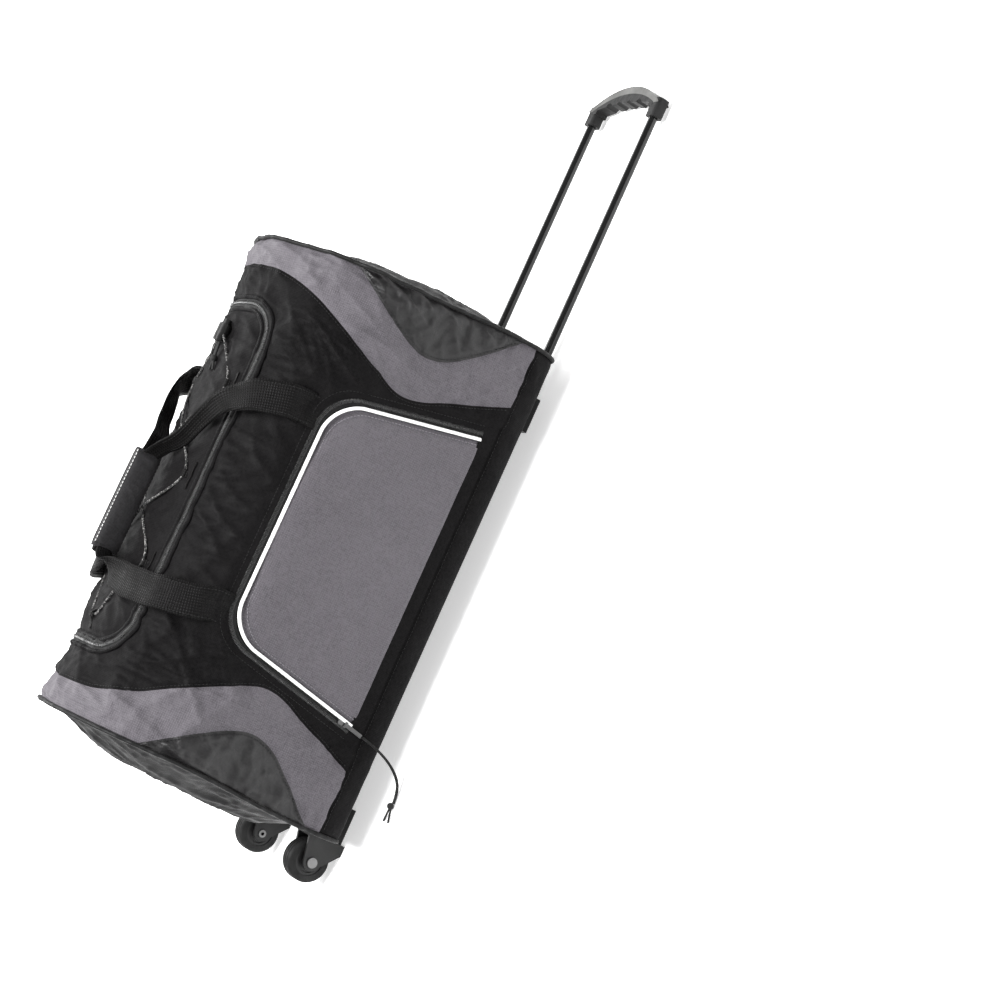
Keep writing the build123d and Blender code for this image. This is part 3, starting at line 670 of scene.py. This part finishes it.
# Per material: its darkest and lightest colour, its range of roughness, then sheen for a cloth, or the
# grain's height and scale for a plastic.
CLOTHS = {
    "black_fabric": ((0.0015, 0.0014, 0.0015), (0.0062, 0.0058, 0.0061), (0.5, 0.7), 0.01, 0.0018),
    "grey_fabric": ((0.057, 0.0525, 0.0595), (0.092, 0.085, 0.0955), (0.55, 0.8), 0.05, 0.0024, 0.0005),
    "coated_fabric": ((0.004, 0.0038, 0.004), (0.011, 0.0105, 0.011), (0.3, 0.44), 0.01),
    "end_fabric": ((0.0025, 0.0024, 0.0025), (0.0075, 0.0072, 0.0075), (0.42, 0.6), 0.01),
    "black_piping": (0.003, 0.009, (0.4, 0.6), 0.02),
    "white_piping": ((0.72, 0.73, 0.72), (0.86, 0.86, 0.85), (0.4, 0.6), 0.1),
    "zip_tape": (0.004, 0.01, (0.6, 0.8), 0.05, 0.0009),
    "lining": ((0.03, 0.03, 0.032), (0.055, 0.055, 0.06), (0.5, 0.7), 0.2, 0.0008),
    "webbing": (0.0004, (0.0042, 0.0039, 0.0039), (0.45, 0.65), 0.01, 0.003, 0.0011),
    "wrap_fabric": ((0.008, 0.0076, 0.0082), (0.02, 0.019, 0.0205), (0.6, 0.8), 0.06, 0.0014, 0.0004),
    "thread_black": (0.005, 0.013, (0.5, 0.7), 0.03),
    "thread_grey": ((0.12, 0.115, 0.125), (0.2, 0.19, 0.21), (0.5, 0.7), 0.05),
    "thread_white": ((0.55, 0.55, 0.54), (0.75, 0.75, 0.73), (0.5, 0.7), 0.3),
}
PLASTICS = {
    "zip_coil": (0.006, 0.02, (0.24, 0.36)),
    "zip_metal": (0.05, 0.09, (0.25, 0.42), 0.00004, 700.0),
    "board": (0.01, 0.02, (0.55, 0.75), 0.0002, 500.0),
    "black_plastic": (0.005, 0.012, (0.28, 0.45)),
    "hub_plastic": (0.008, 0.016, (0.35, 0.5)),
    "steel": (0.1, 0.16, (0.3, 0.46), 0.00003, 600.0),
    "black_tube": (0.002, 0.004, (0.12, 0.2), 0.00001, 500.0),
    "tyre": (0.005, 0.014, (0.55, 0.8), 0.0002, 700.0),
    "grip_grey": ((0.055, 0.055, 0.053), (0.13, 0.13, 0.126), (0.5, 0.7), 0.0002, 1400.0),
    "grip_black": (0.007, 0.014, (0.5, 0.68), 0.0002, 1100.0),
}
SPECULAR = {
    "black_fabric": 0.04, "grey_fabric": 0.2, "coated_fabric": 0.28, "end_fabric": 0.09,
    "black_piping": 0.15, "zip_tape": 0.16, "webbing": 0.08, "wrap_fabric": 0.2, "thread_black": 0.15,
    "zip_coil": 0.55, "black_plastic": 0.25, "hub_plastic": 0.25, "black_tube": 0.4, "tyre": 0.2,
    "grip_grey": 0.2, "grip_black": 0.2}
EXTRAS = {
    "end_fabric": {"crumple": 0.4}, "black_tube": {"coat": 0.1}, "steel": {"metallic": 1.0},
    "zip_metal": {"metallic": 0.9}}


def make_materials():
    made = {"black_cord": braided("black_cord", 0.008, 0.02),
            "fleck_cord": braided("fleck_cord", 0.008, (0.2, 0.195, 0.19))}
    for maker, looks in ((cloth, CLOTHS), (plastic, PLASTICS)):
        for name, look in looks.items():
            more = dict(EXTRAS.get(name, {}))
            if name in SPECULAR:
                more["specular"] = SPECULAR[name]
            made[name] = maker(name, *look, **more)
    return made


MATERIALS = make_materials()


def finish_piece(obj, slot, body="bag", replaces=(), material=None):
    """Give a piece the material of its slot, or the one named instead, hang it on the body it rides and
    hide the CAD nodes it stands for.
    """
    obj.data.materials.clear()
    obj.data.materials.append(MATERIALS[material or slot])
    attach(obj, body)
    if replaces:
        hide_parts(*replaces)
    return obj


# ---- Main shell, bands, inserts, ends and base ----
ENDS = (("wheel_end", -1), ("handle_end", 1))
FACES = (("front", -1), ("back", 1))
ROW_STEP = 2.0  # spacing of the points that lead a row of stitches
SEAM_MARGIN = 3.2  # from a seam to the row of stitches beside it


def window(x, g):
    """The main panel is cut away behind the pocket flap's zipper."""
    return (g < 0) & (g > POCKET_LOW_G + 1.0) & (pocket_distance(x, g, 12.0) > 0)


def edges(sign, near, far):
    """The left and right edges of a panel at one end, from how far they are from the bag's middle."""
    return (near, far) if sign > 0 else (lambda g: -far(g), lambda g: -near(g))


def make_shell():
    body = patch("body_shell", -GIRTH_SEAM, GIRTH_SEAM, lambda g: -band_edge(g), band_edge, drop=window)
    finish_piece(body, "black_fabric", replaces=["main_body"])
    for name, sign in ENDS:
        band_edges = edges(sign, band_edge, insert_edge)
        band = patch(name + "_band_cloth", -GIRTH_SEAM, GIRTH_SEAM, *band_edges, pillow=1.0)
        finish_piece(band, "grey_fabric", replaces=[name + "_band"])
        for face, side in FACES:
            low, high = sorted((side * INSERT_TOP, side * INSERT_FOOT))
            insert = patch(f"{name}_{face}_insert_cloth", low, high,
                           *edges(sign, insert_edge, end_seam), step=2.5, pillow=2.2, crumple=1.0)
            finish_piece(insert, "coated_fabric", replaces=[f"{name}_{face}_insert"])


def make_base():
    g = np.r_[np.linspace(-GIRTH_SEAM, -GIRTH_END, 40), np.linspace(GIRTH_END, GIRTH_SEAM, 40)]
    u = np.linspace(-1, 1, 150)
    x = end_seam(g)[:, None] * u
    gg = np.repeat(g[:, None], len(u), 1)
    seam = np.abs(np.abs(gg) - GIRTH_SEAM)
    ends = end_seam(g)[:, None] * (1 - np.abs(u))
    points = skin(x, gg, crease(np.minimum(seam, ends)) + 0.8 * smooth(seam / 20) - 0.5)
    run = run_along(points[:, len(u) // 2])
    obj = grid_object("base_cloth", points, np.stack([x, np.repeat(run[:, None], len(u), 1)], -1))
    finish_piece(face_out(tidy(obj)), "black_fabric", replaces=["base_panel"])


def end_outline(sign, lift, count=320):
    g = np.linspace(-GIRTH_END, GIRTH_END, count, endpoint=False)
    return skin(sign * end_seam(g), g, lift), g


END_CENTRE_Z = 178.0


def make_end(name, sign, seed):
    """An end panel of rings that shrink to its centre, and the piping round its seam."""
    rim, _ = end_outline(sign, -1.5)
    rings = 46
    centre = np.array([0.0, END_CENTRE_Z])
    points = []
    for i in range(rings):
        r = 1 - (i / (rings - 1)) ** 0.9
        yz = centre + (rim[:, 1:] - centre) * r
        inset = 1 - r
        clear = smooth((yz[:, 1] - 44.0) / 70.0)
        full = (4.0 + 20.0 * clear) * smooth(inset / 0.62)
        creases = ((3.0, 78, 120, 26, seed + 3), (1.6, 35, 90, 22, seed + 5))
        gather = 2.2 * noise2(yz[:, 0] / 44 + seed, yz[:, 1] / 52, seed) + fold_sets(*yz.T, creases)
        gather = gather * smooth(inset / 0.16) * (0.1 + 0.9 * clear)
        edge = rim[:, 0] * r + sign * end_seam(300.0) * (1 - r)
        x = np.abs(edge) + full + gather * 0.8 - 2.4
        x = np.where(inset < 0.02, np.abs(rim[:, 0]) - 1.0, x)
        points.append(np.stack([sign * x, yz[:, 0], yz[:, 1]], 1))
    points = np.concatenate(points)
    count = len(rim)
    faces = [(i + j, i + (j + 1) % count, i + count + (j + 1) % count, i + count + j)
             for i in range(0, (rings - 1) * count, count) for j in range(count)]
    obj = mesh_object(name + "_panel_cloth", points, faces, points[:, 1:])
    finish_piece(face_out(tidy(obj)), "coated_fabric", replaces=[name + "_panel"], material="end_fabric")
    line, g = end_outline(sign, 0.6, 420)
    line[:, 2] += 2.4 * smooth((np.abs(g) - GIRTH_SEAM - 30) / 25)
    bead = tube(name + "_piping_bead", line, 2.5, closed=True)
    finish_piece(bead, "black_piping", replaces=[name + "_piping"])


# ---- The lid, its zipper and the pocket ----
def corner_cut(distance, radius):
    """How far a rounded corner pulls a straight side in, at a distance from the next side."""
    d = np.clip(radius - distance, 0, radius)
    return radius - np.sqrt(np.maximum(radius ** 2 - d ** 2, 0))


def lid_side(g):
    return LID_HALF_X - corner_cut(LID_HALF_G - np.abs(g), LID_CORNER)


def make_lid():
    lid = patch("lid_cloth", -LID_HALF_G, LID_HALF_G, lambda g: -lid_side(g), lid_side,
                pillow=2.4, lift=1.6)
    thicken(lid, 1.4)
    finish_piece(lid, "black_fabric", replaces=["top_flap"])


def u_path(half_x, half_g, corner, back_g, step=2.0):
    """(x, g) points down one short side of the lid, along its front and up the other."""
    turn = np.linspace(0, np.pi / 2, 24)
    c, s = corner * np.cos(turn), corner * np.sin(turn)
    right = np.stack([half_x - corner + c, -(half_g - corner) - s], 1)
    left = np.stack([-half_x + corner - s, -(half_g - corner) - c], 1)
    line = np.concatenate([[[half_x, back_g]], right, left, [[-half_x, back_g]]])
    return evenly(line, step)


TAPE_THICK = 0.9


def zipper(name, x, g, lift, tape, replaces, tooth=4.6):
    """A zip along (x, g): its woven tape, tape wide, and the coil on it, tooth wide."""
    line, normals = on_skin(x, g, lift)
    strip = ribbon(name + "_tape", line, np.cross(normals, np.gradient(line, axis=0)), tape, TAPE_THICK)
    finish_piece(strip, "zip_tape", replaces=replaces)
    raised, _ = on_skin(x, g, lift + TAPE_THICK)
    coil = stitches(name + "_coil", raised, normals, 1.55, tooth, width=1.15, height=1.7, across=True)
    finish_piece(coil, "zip_tape", material="zip_coil")


LID_ZIP = (LID_HALF_X + 3.5, LID_HALF_G + 4.0, LID_CORNER + 4.0)  # half length, half girth, corner
LID_ZIP_BACK = 55.0  # the girth at the back where its ends stop
ROLL_OFFSET = 7.0  # the cloth rolls lie this far to either side of the coil


def make_main_zipper():
    x, g = u_path(*LID_ZIP, LID_ZIP_BACK)
    wander = 1.2 * noise2(np.arange(len(x)) / 26.0, 0.5, 41)
    zipper("main_zip", x, g + wander * (np.abs(x) < 150), 2.6, 15.0, ["main_zipper"])
    for name, off, size in (("lid_roll", -ROLL_OFFSET, 3.3), ("body_roll", ROLL_OFFSET, 3.0)):
        x, g = u_path(*(value + off for value in LID_ZIP), LID_ZIP_BACK, 2.5)
        line, normals = on_skin(x, g + wander[0], 1.6)
        place = np.arange(len(line))
        fat = size * (1 + 0.12 * noise2(place / 7.0, 2.0, 43 + int(off)))
        fat = fat * np.minimum(1, np.minimum(place, place[::-1]) / 8.0 + 0.35)
        finish_piece(tube(name, line, fat, sides=12, squash=0.85, normals=normals), "black_fabric")
        stitch_row(name + "_stitch", x, g, 4.4, "black_fabric")


def pocket_side(g):
    """Half the pocket flap's width at a girth."""
    return POCKET_FOOT - LEAN * (g - POCKET_LOW_G) - corner_cut(POCKET_HIGH_G - g, POCKET_CORNER)


def pocket_path(grow, step=2.0):
    """(x, g) points up one side of the pocket, across its top and down the other."""
    high = POCKET_HIGH_G + grow
    turn = np.linspace(0.05, np.pi / 2, 24)
    g = np.r_[np.linspace(POCKET_LOW_G + 1, high - POCKET_CORNER, 30),
              high - POCKET_CORNER + POCKET_CORNER * np.sin(turn)]
    slant = math.hypot(1, LEAN)
    side = POCKET_FOOT - LEAN * (g - POCKET_LOW_G) + grow * slant - corner_cut(high - g, POCKET_CORNER)
    line = np.concatenate([np.stack([-side, g], 1), np.stack([side, g], 1)[::-1]])
    return evenly(line, step)


def make_pocket():
    flap = patch("pocket_flap_cloth", POCKET_LOW_G, POCKET_HIGH_G,
                 lambda g: -pocket_side(g), pocket_side,
                 pillow=2.2, lift=0.6)
    thicken(flap, 1.6)
    finish_piece(flap, "grey_fabric", "pocket_flap", ["pocket_panel"])
    x, g = pocket_path(1.8)
    line, _ = on_skin(x, g, 2.3)
    finish_piece(tube("pocket_piping_bead", line, 2.0), "white_piping", "pocket_flap", ["pocket_piping"])
    stitch_row("pocket_flap_stitch", *pocket_path(-5.0), 2.2, "grey_fabric", "pocket_flap", "thread_grey")
    zipper("pocket_zip", *pocket_path(ZIP_MIDDLE), 0.1, 12.5, ["pocket_zipper"], tooth=5.2)
    stitch_row("pocket_zip_stitch", *pocket_path(2 * ZIP_MIDDLE), 1.2, "black_fabric")
    liner()


def liner():
    """The pocket's lining, a shallow tray behind the flap."""
    rows, cols = 60, 110
    g = np.linspace(POCKET_LOW_G, POCKET_HIGH_G - 1.0, rows)
    u = np.linspace(-1, 1, cols)
    x = (pocket_side(g) + 3.0)[:, None] * u
    gg = np.repeat(g[:, None], cols, 1)
    d = np.minimum(pocket_distance(x, gg, 3.0), gg - POCKET_LOW_G)
    deep = -3.0 - 6.0 * smooth(d / 16.0) - 0.8 * noise2(x / 24, gg / 30, 71) * smooth(d / 20.0)
    y, z, ny, nz = section(gg)
    points = np.stack([x, y + ny * deep, z + nz * deep], -1)
    obj = grid_object("pocket_liner_cloth", points, np.stack([x, gg], -1))
    finish_piece(face_out(tidy(obj)), "lining", replaces=["pocket_liner"])


# ---- Seams ----
def stitch_row(name, x, g, lift, slot, body="bag", thread="thread_black"):
    """A row of stitches along (x, g) on the cloth."""
    finish_piece(stitches(name, *on_skin(x, g, lift)), slot, body, material=thread)


def seam_rows():
    g = np.arange(-GIRTH_SEAM + 4, GIRTH_SEAM - 4, ROW_STEP)
    for name, sign in ENDS:
        stitch_row(name + "_band_stitch", sign * (band_edge(g) - SEAM_MARGIN), g, -0.3, "black_fabric")
        for face, side in FACES:
            h = side * np.arange(INSERT_TOP + 2, INSERT_FOOT - 6, ROW_STEP)
            line_x = sign * (insert_edge(h) + SEAM_MARGIN)
            stitch_row(f"{name}_{face}_insert_stitch", line_x, h, 0.2, "coated_fabric")
    for face, side in FACES:
        x = np.arange(-292, 292.1, ROW_STEP)
        stitch_row(f"base_{face}_stitch", x, np.full_like(x, side * (GIRTH_SEAM + 4.0)), 0.1,
                   "black_fabric")


# ---- Carry handles and their wrap ----
# The front strap's two legs above their feet: x, y, z of the middle line, width, and how far the width
# direction has turned from along the bag to upright. Both legs end inside the wrap.
STRAP_LEGS = {
    "handle_side": [
        (117, -139.5, 297, 38, 0.00), (113, -129.0, 317, 38, 0.00), (105, -112.0, 335, 36, 0.06),
        (90, -84.0, 350, 28, 0.28), (70, -66.0, 356, 22, 0.48), (48, -50.0, 360, 20, 0.58),
        (30, -28.0, 364, 21, 0.74), (17, -12.0, 370, 20, 0.92), (4, -4.2, 375.5, 18, 1.00),
        (-20, -3.4, 376, 18, 1.00), (-48, -3.4, 376, 18, 1.00)],
    "wheel_side": [
        (-122, -139.5, 297, 38, 0.00), (-126, -129.0, 317, 38, 0.00), (-130, -112.0, 335, 38, 0.00),
        (-132, -84.0, 350, 38, 0.04), (-131, -58.0, 359, 37, 0.10), (-129, -34.0, 366, 33, 0.28),
        (-123, -16.0, 372, 26, 0.58), (-114, -6.5, 376, 20, 0.88), (-102, -3.6, 376, 18, 1.00),
        (-78, -3.4, 376, 18, 1.00), (-52, -3.4, 376, 18, 1.00)]}
STRAP_FOOT_X = 118.0
STRAP_FOOT = ((263.0, 1.0), (279.0, 2.4))  # height, and how far it stands off the cloth there
STRAP_FOOT_WIDTH = 39.0
STRAP_THICK = 2.3
WRAP_LOW, WRAP_HIGH = 360.4, 391.2
WRAP_MIDDLE, WRAP_HALF = -50.0, 60.0


def strap_leg(front, side):
    foot_x = STRAP_FOOT_X if side == "handle_side" else -STRAP_FOOT_X
    foot = [(*skin(foot_x, -girth_of_z(z), lift), STRAP_FOOT_WIDTH, 0.0) for z, lift in STRAP_FOOT]
    line = path_through(foot + STRAP_LEGS[side], 4.0)
    turn = smooth(line[:, 4])
    across = np.stack([1.02 - turn, np.zeros_like(turn), turn], 1)
    free = smooth((line[:, 2] - 280) / 50) * smooth((np.abs(line[:, 0] - WRAP_MIDDLE) - 62) / 12)
    place = line[:, :3].copy()
    steps = np.arange(len(line))
    place[:, 2] += 1.6 * free * noise2(steps / 8.0, 0.3 + front, 51)
    place[:, 0] += 1.4 * free * noise2(steps / 9.0, 4.3 + front, 52) + (0 if front else 10.0) * free
    if not front:
        place[:, 1] *= -1
    return place, across, line[:, 3]


def make_straps():
    for front, name in ((1, "carry_strap_front"), (0, "carry_strap_back")):
        for side in STRAP_LEGS:
            place, across, width = strap_leg(front, side)
            band = ribbon(f"{name}_{side}", place, across, width, STRAP_THICK, bow=1.2)
            finish_piece(band, "webbing", replaces=[name])
            tangent = unit(np.gradient(place, axis=0))
            up = unit(np.cross(tangent, across))
            up *= np.sign(np.sum(up * [0.0, -1.0 if front else 1.0, 0.6], 1))[:, None]
            flat = unit(across - tangent * np.sum(across * tangent, 1)[:, None])
            for k, edge in enumerate((-1, 1)):
                row = (place + flat * edge * (width[:, None] / 2 - 3.5) + up * 1.9)[2:-20]
                thread = stitches(f"{name}_{side}_stitch{k}", row, up[2:-20], pitch=4.0, length=2.9)
                finish_piece(thread, "webbing", material="thread_black")


def wrap_half(name, side, body, replaces):
    """One half of the soft wrap: it bulges round the webbing from the bottom edge to the top edge."""
    x = np.linspace(-WRAP_HALF, WRAP_HALF, 61)
    t = np.linspace(0, 1, 30)
    angle = np.pi * t
    bulge = 7.4 * np.sin(angle) ** 0.45 + 0.4
    rise = 0.5 - 0.5 * np.sign(np.cos(angle)) * np.abs(np.cos(angle)) ** 0.8
    z = WRAP_LOW + (WRAP_HIGH - WRAP_LOW) * rise
    ripple = 0.9 * noise2(x[:, None] / 17, t[None, :] * 2.2 + side, 61)
    ripple = ripple + 0.7 * folds(x[:, None], z[None, :], 75, 60, 12, 63)
    ends = 1 - 0.35 * np.exp(-((WRAP_HALF - np.abs(x)) / 5.0) ** 2)
    y = side * ((bulge[None, :] + 0.9 * ripple * np.sin(angle)[None, :]) * ends[:, None] + 0.5)
    crown = 0.24 * np.cos(np.pi * x / 2 / WRAP_HALF)
    points = np.stack([np.repeat(x[:, None] + WRAP_MIDDLE, len(t), 1), y, z[None, :] + crown[:, None]], -1)
    run = run_along(points[len(x) // 2])
    obj = grid_object(name, points, np.stack([points[:, :, 0], np.repeat(run[None], len(x), 0)], -1))
    thicken(face_out(obj, (WRAP_MIDDLE, 0.0, (WRAP_LOW + WRAP_HIGH) / 2)), 1.3)
    finish_piece(obj, "wrap_fabric", body, replaces)
    top = {"width": 0.9, "height": 0.8}
    rows = (("top", points[2:-2, 26], "thread_white", top),
            ("low", points[2:-2, 3], "thread_black", top),
            ("wheel", points[2, 3:-3], "thread_black", {}),
            ("handle", points[58, 3:-3], "thread_black", {}))
    for label, line, thread, size in rows:
        up = np.tile([0.0, float(side), 0.0], (len(line), 1))
        row = stitches(f"{name}_{label}_stitch", line + 0.5 * up, up, pitch=4.4, length=3.2, **size)
        finish_piece(row, "wrap_fabric", body, material=thread)


def make_wrap():
    wrap_half("wrap_back_cloth", 1, "bag", ["wrap_back"])
    wrap_half("wrap_front_cloth", -1, "wrap_flap", ["wrap_front"])


# ---- The elastic cord across the lid ----
LACE_R = 1.5
LACE_ROWS = (112.0, 2.0, -106.0)
LACE_Y = 52.0
LOCK_X, LOCK_R = 158.0, 7.5
CROWN_AT_LACE = float(SPRING_Z + (TOP_Z - SPRING_Z) * math.sqrt(1 - (LACE_Y / HALF_WIDTH) ** 2))
LACE_SIDE_Z = CROWN_AT_LACE + 4.2
LACE_ROUTE = [
    (LOCK_X + 7, -(LOCK_R + 1.4), TOP_Z + 8.5), (151, -19.9, TOP_Z + 3.2),
    (LACE_ROWS[0], -LACE_Y, LACE_SIDE_Z), (57, 0, TOP_Z + 3.2), (LACE_ROWS[1], LACE_Y, LACE_SIDE_Z),
    (-52, 0, TOP_Z + 3.2), (LACE_ROWS[2], -LACE_Y, LACE_SIDE_Z), (-150, -22, TOP_Z + 2.5),
    (-178, -5, TOP_Z + 4.2), (-178, 5, TOP_Z + 4.2), (-150, 22, TOP_Z + 2.5),
    (LACE_ROWS[2], LACE_Y, LACE_SIDE_Z), (-51, 0, TOP_Z + 7.2), (LACE_ROWS[1], -LACE_Y, LACE_SIDE_Z),
    (58, 0, TOP_Z + 7.2), (LACE_ROWS[0], LACE_Y, LACE_SIDE_Z), (151, 19.9, TOP_Z + 3.2),
    (LOCK_X + 7, LOCK_R + 1.4, TOP_Z + 8.5)]
# A loop over the cord: girth, or x for the one at the end of the lid, and height off the cloth.
TAB = ((60.0, 2.8), (57.0, 3.6), (54.5, 5.6), (53.0, 7.0), (51.0, 6.4), (48.0, 4.0), (44.0, 3.0))
END_TAB = ((-170.0, 3.0), (-174.0, 4.4), (-178.0, 7.6), (-181.0, 7.4), (-185.0, 5.4), (-190.0, 3.4),
           (-195.0, 2.8))
TAB_WIDTH = 9.0
ALONG_BAG, ACROSS_BAG = [1.0, 0.0, 0.0], [0.0, 1.0, 0.0]


def flat_ribbon(name, line, across, thickness):
    return ribbon(name, line, np.tile(across, (len(line), 1)), TAB_WIDTH, thickness)


def lace_tab(name, x, side):
    g, lift = np.array(TAB).T * [[side], [1]]
    ridge, normals = on_skin(np.full(len(g), x), g, 0)
    loop = path_through(ridge + normals * lift[:, None], 1.5)
    finish_piece(flat_ribbon(name, loop, ALONG_BAG, 1.0), "webbing", replaces=["lace_loops"])
    bar, _ = on_skin(np.linspace(x - 16, x + 16, 18), np.full(18, TAB[0][0] * side), 3.2)
    finish_piece(flat_ribbon(name + "_foot", bar, ACROSS_BAG, 1.2), "webbing")


def make_lacing():
    cord = tube("shock_cord_braid", path_through(LACE_ROUTE, 2.5), LACE_R)
    finish_piece(cord, "fleck_cord", replaces=["shock_cord"])
    for k, x in enumerate(LACE_ROWS):
        for face, side in FACES:
            lace_tab(f"lace_tab_{k}_{face}", x, side)
    x, lift = np.array(END_TAB).T
    ridge, _ = on_skin(x, np.zeros(len(x)), 0)
    ridge[:, 2] += lift
    finish_piece(flat_ribbon("lace_tab_end", path_through(ridge, 1.5), ACROSS_BAG, 1.0), "webbing")


# ---- The pocket slider's pull cord ----
PULL_ROUTE = [
    (-182.3, -149.1, 62.6), (-184.5, -150.5, 52.5), (-189.0, -154.5, 38.0), (-197.0, -159.5, 22.0),
    (-208.0, -163.0, 9.0), (-221.0, -165.5, 2.6), (-235.0, -166.5, 1.9)]


def pull_strand(name, shift, node_name):
    """One of the pull's two strands; shift moves it forward along y."""
    route = to_row(np.array(PULL_ROUTE) + [0.0, shift, 0.0])
    data = bpy.data.curves.new(name, "CURVE")
    data.dimensions = "3D"
    data.bevel_depth = 0.00125
    data.bevel_resolution = 4
    data.resolution_u = 16
    spline = data.splines.new("NURBS")
    spline.points.add(len(route) - 1)
    for point, place in zip(spline.points, route):
        point.co = (*place, 1.0)
    spline.order_u = 3
    spline.use_endpoint_u = True
    obj = add_object(name, data)
    data.materials.append(MATERIALS["thread_black"])
    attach(obj, "zip_pull")
    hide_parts(node_name)


# ---- Better finishes for the hard parts ----
def dress_cad():
    """Rounded edges and the materials above for every CAD node that still shows."""
    slots = {}
    for entry in frame["record"].get("materials", []):
        for name in entry.get("nodes", []):
            slots[name] = entry["slot"]
    for name, obj in frame["nodes"].items():
        if obj.hide_render:
            continue
        slot = slots.get(name)
        if slot is None and obj.data.materials and obj.data.materials[0]:
            slot = obj.data.materials[0].name.split(".")[0]
        obj.data.materials.clear()
        obj.data.materials.append(MATERIALS.get(slot, MATERIALS["black_plastic"]))
        edge = obj.modifiers.new("edge", "BEVEL")
        edge.width = 0.0005
        edge.segments = 2
        edge.limit_method = "ANGLE"
        edge.angle_limit = math.radians(40)


# ---- Camera, light and floor ----
CAMERA_AT = (-0.355, -2.421, 1.136)
CAMERA_AZIMUTH = 8.07  # degrees from +Y towards +X
CAMERA_ELEVATION = 25.81
CAMERA_ROLL = 62.3  # the bag is seen stood up on its wheels, leaning over
CAMERA_LENS = 80.97


def make_camera():
    a, e, r = (math.radians(v) for v in (CAMERA_AZIMUTH, CAMERA_ELEVATION, CAMERA_ROLL))
    forward = Vector((math.sin(a) * math.cos(e), math.cos(a) * math.cos(e), -math.sin(e)))
    level = Vector((math.cos(a), -math.sin(a), 0.0))
    over = level.cross(forward)
    right = level * math.cos(r) - over * math.sin(r)
    up = level * math.sin(r) + over * math.cos(r)
    data = bpy.data.cameras.new("camera")
    data.lens = CAMERA_LENS
    data.sensor_width = 36.0
    data.clip_end = 20.0
    camera = add_object("camera", data)
    matrix = Matrix((right, up, -forward)).transposed().to_4x4()
    matrix.translation = Vector(CAMERA_AT)
    camera.matrix_world = matrix
    bpy.context.scene.camera = camera


def area_light(name, place, aim, size, power):
    data = bpy.data.lights.new(name, "AREA")
    data.shape = "RECTANGLE"
    data.size, data.size_y = size
    data.energy = power
    light = add_object(name, data)
    light.location = place
    light.rotation_euler = (Vector(aim) - Vector(place)).to_track_quat("-Z", "Y").to_euler()


FLOOR_SIZE = 60.0  # metres, so that its edge is far behind the bag


def make_studio():
    """A white floor that glows a little, four lights round the bag, one on the floor, a grey sky."""
    bpy.ops.mesh.primitive_plane_add(size=FLOOR_SIZE, location=(0.0, 2.0, -0.0002))
    floor = bpy.context.object
    floor.name = "floor"
    mat, tree, bsdf = new_material("floor")
    tree.links.new(ramp(tree, noise(tree, 1.5, 2.0), 0.78, 0.82), bsdf.inputs["Base Color"])
    put(bsdf, Roughness=0.9, Specular_IOR_Level=0.1, Emission_Color=shade(1.0), Emission_Strength=0.5)
    floor.data.materials.append(mat)
    area_light("top", (-0.5, -0.3, 2.8), (-0.1, 0.0, 0.2), (1.7, 1.3), 190.0)
    area_light("front", (-1.4, -3.0, 1.2), (0.0, 0.0, 0.2), (1.6, 1.2), 30.0)
    area_light("end", (2.8, -0.8, 1.3), (0.1, 0.0, 0.2), (1.2, 1.0), 20.0)
    area_light("back", (-0.6, 2.8, 1.9), (0.0, 0.0, 0.2), (2.0, 1.2), 30.0)
    area_light("floor_wash", (1.5, 5.0, 3.6), (1.5, 5.0, 0.0), (5.0, 4.0), 380.0)
    world = bpy.data.worlds.new("studio")
    world.use_nodes = True
    put(world.node_tree.nodes["Background"], Color=shade(1.0), Strength=0.34)
    bpy.context.scene.world = world
    bpy.context.scene.view_settings.view_transform = "Standard"
    bpy.context.scene.view_settings.look = "None"


make_shell()
make_base()
make_end("wheel_end", -1, 81)
make_end("handle_end", 1, 91)
make_lid()
make_main_zipper()
make_pocket()
seam_rows()
make_straps()
make_wrap()
make_lacing()
pull_strand("pull_strand_front", -2.7, "pull_cord_front")
pull_strand("pull_strand_rear", 0.0, "pull_cord_rear")
dress_cad()
make_camera()
make_studio()
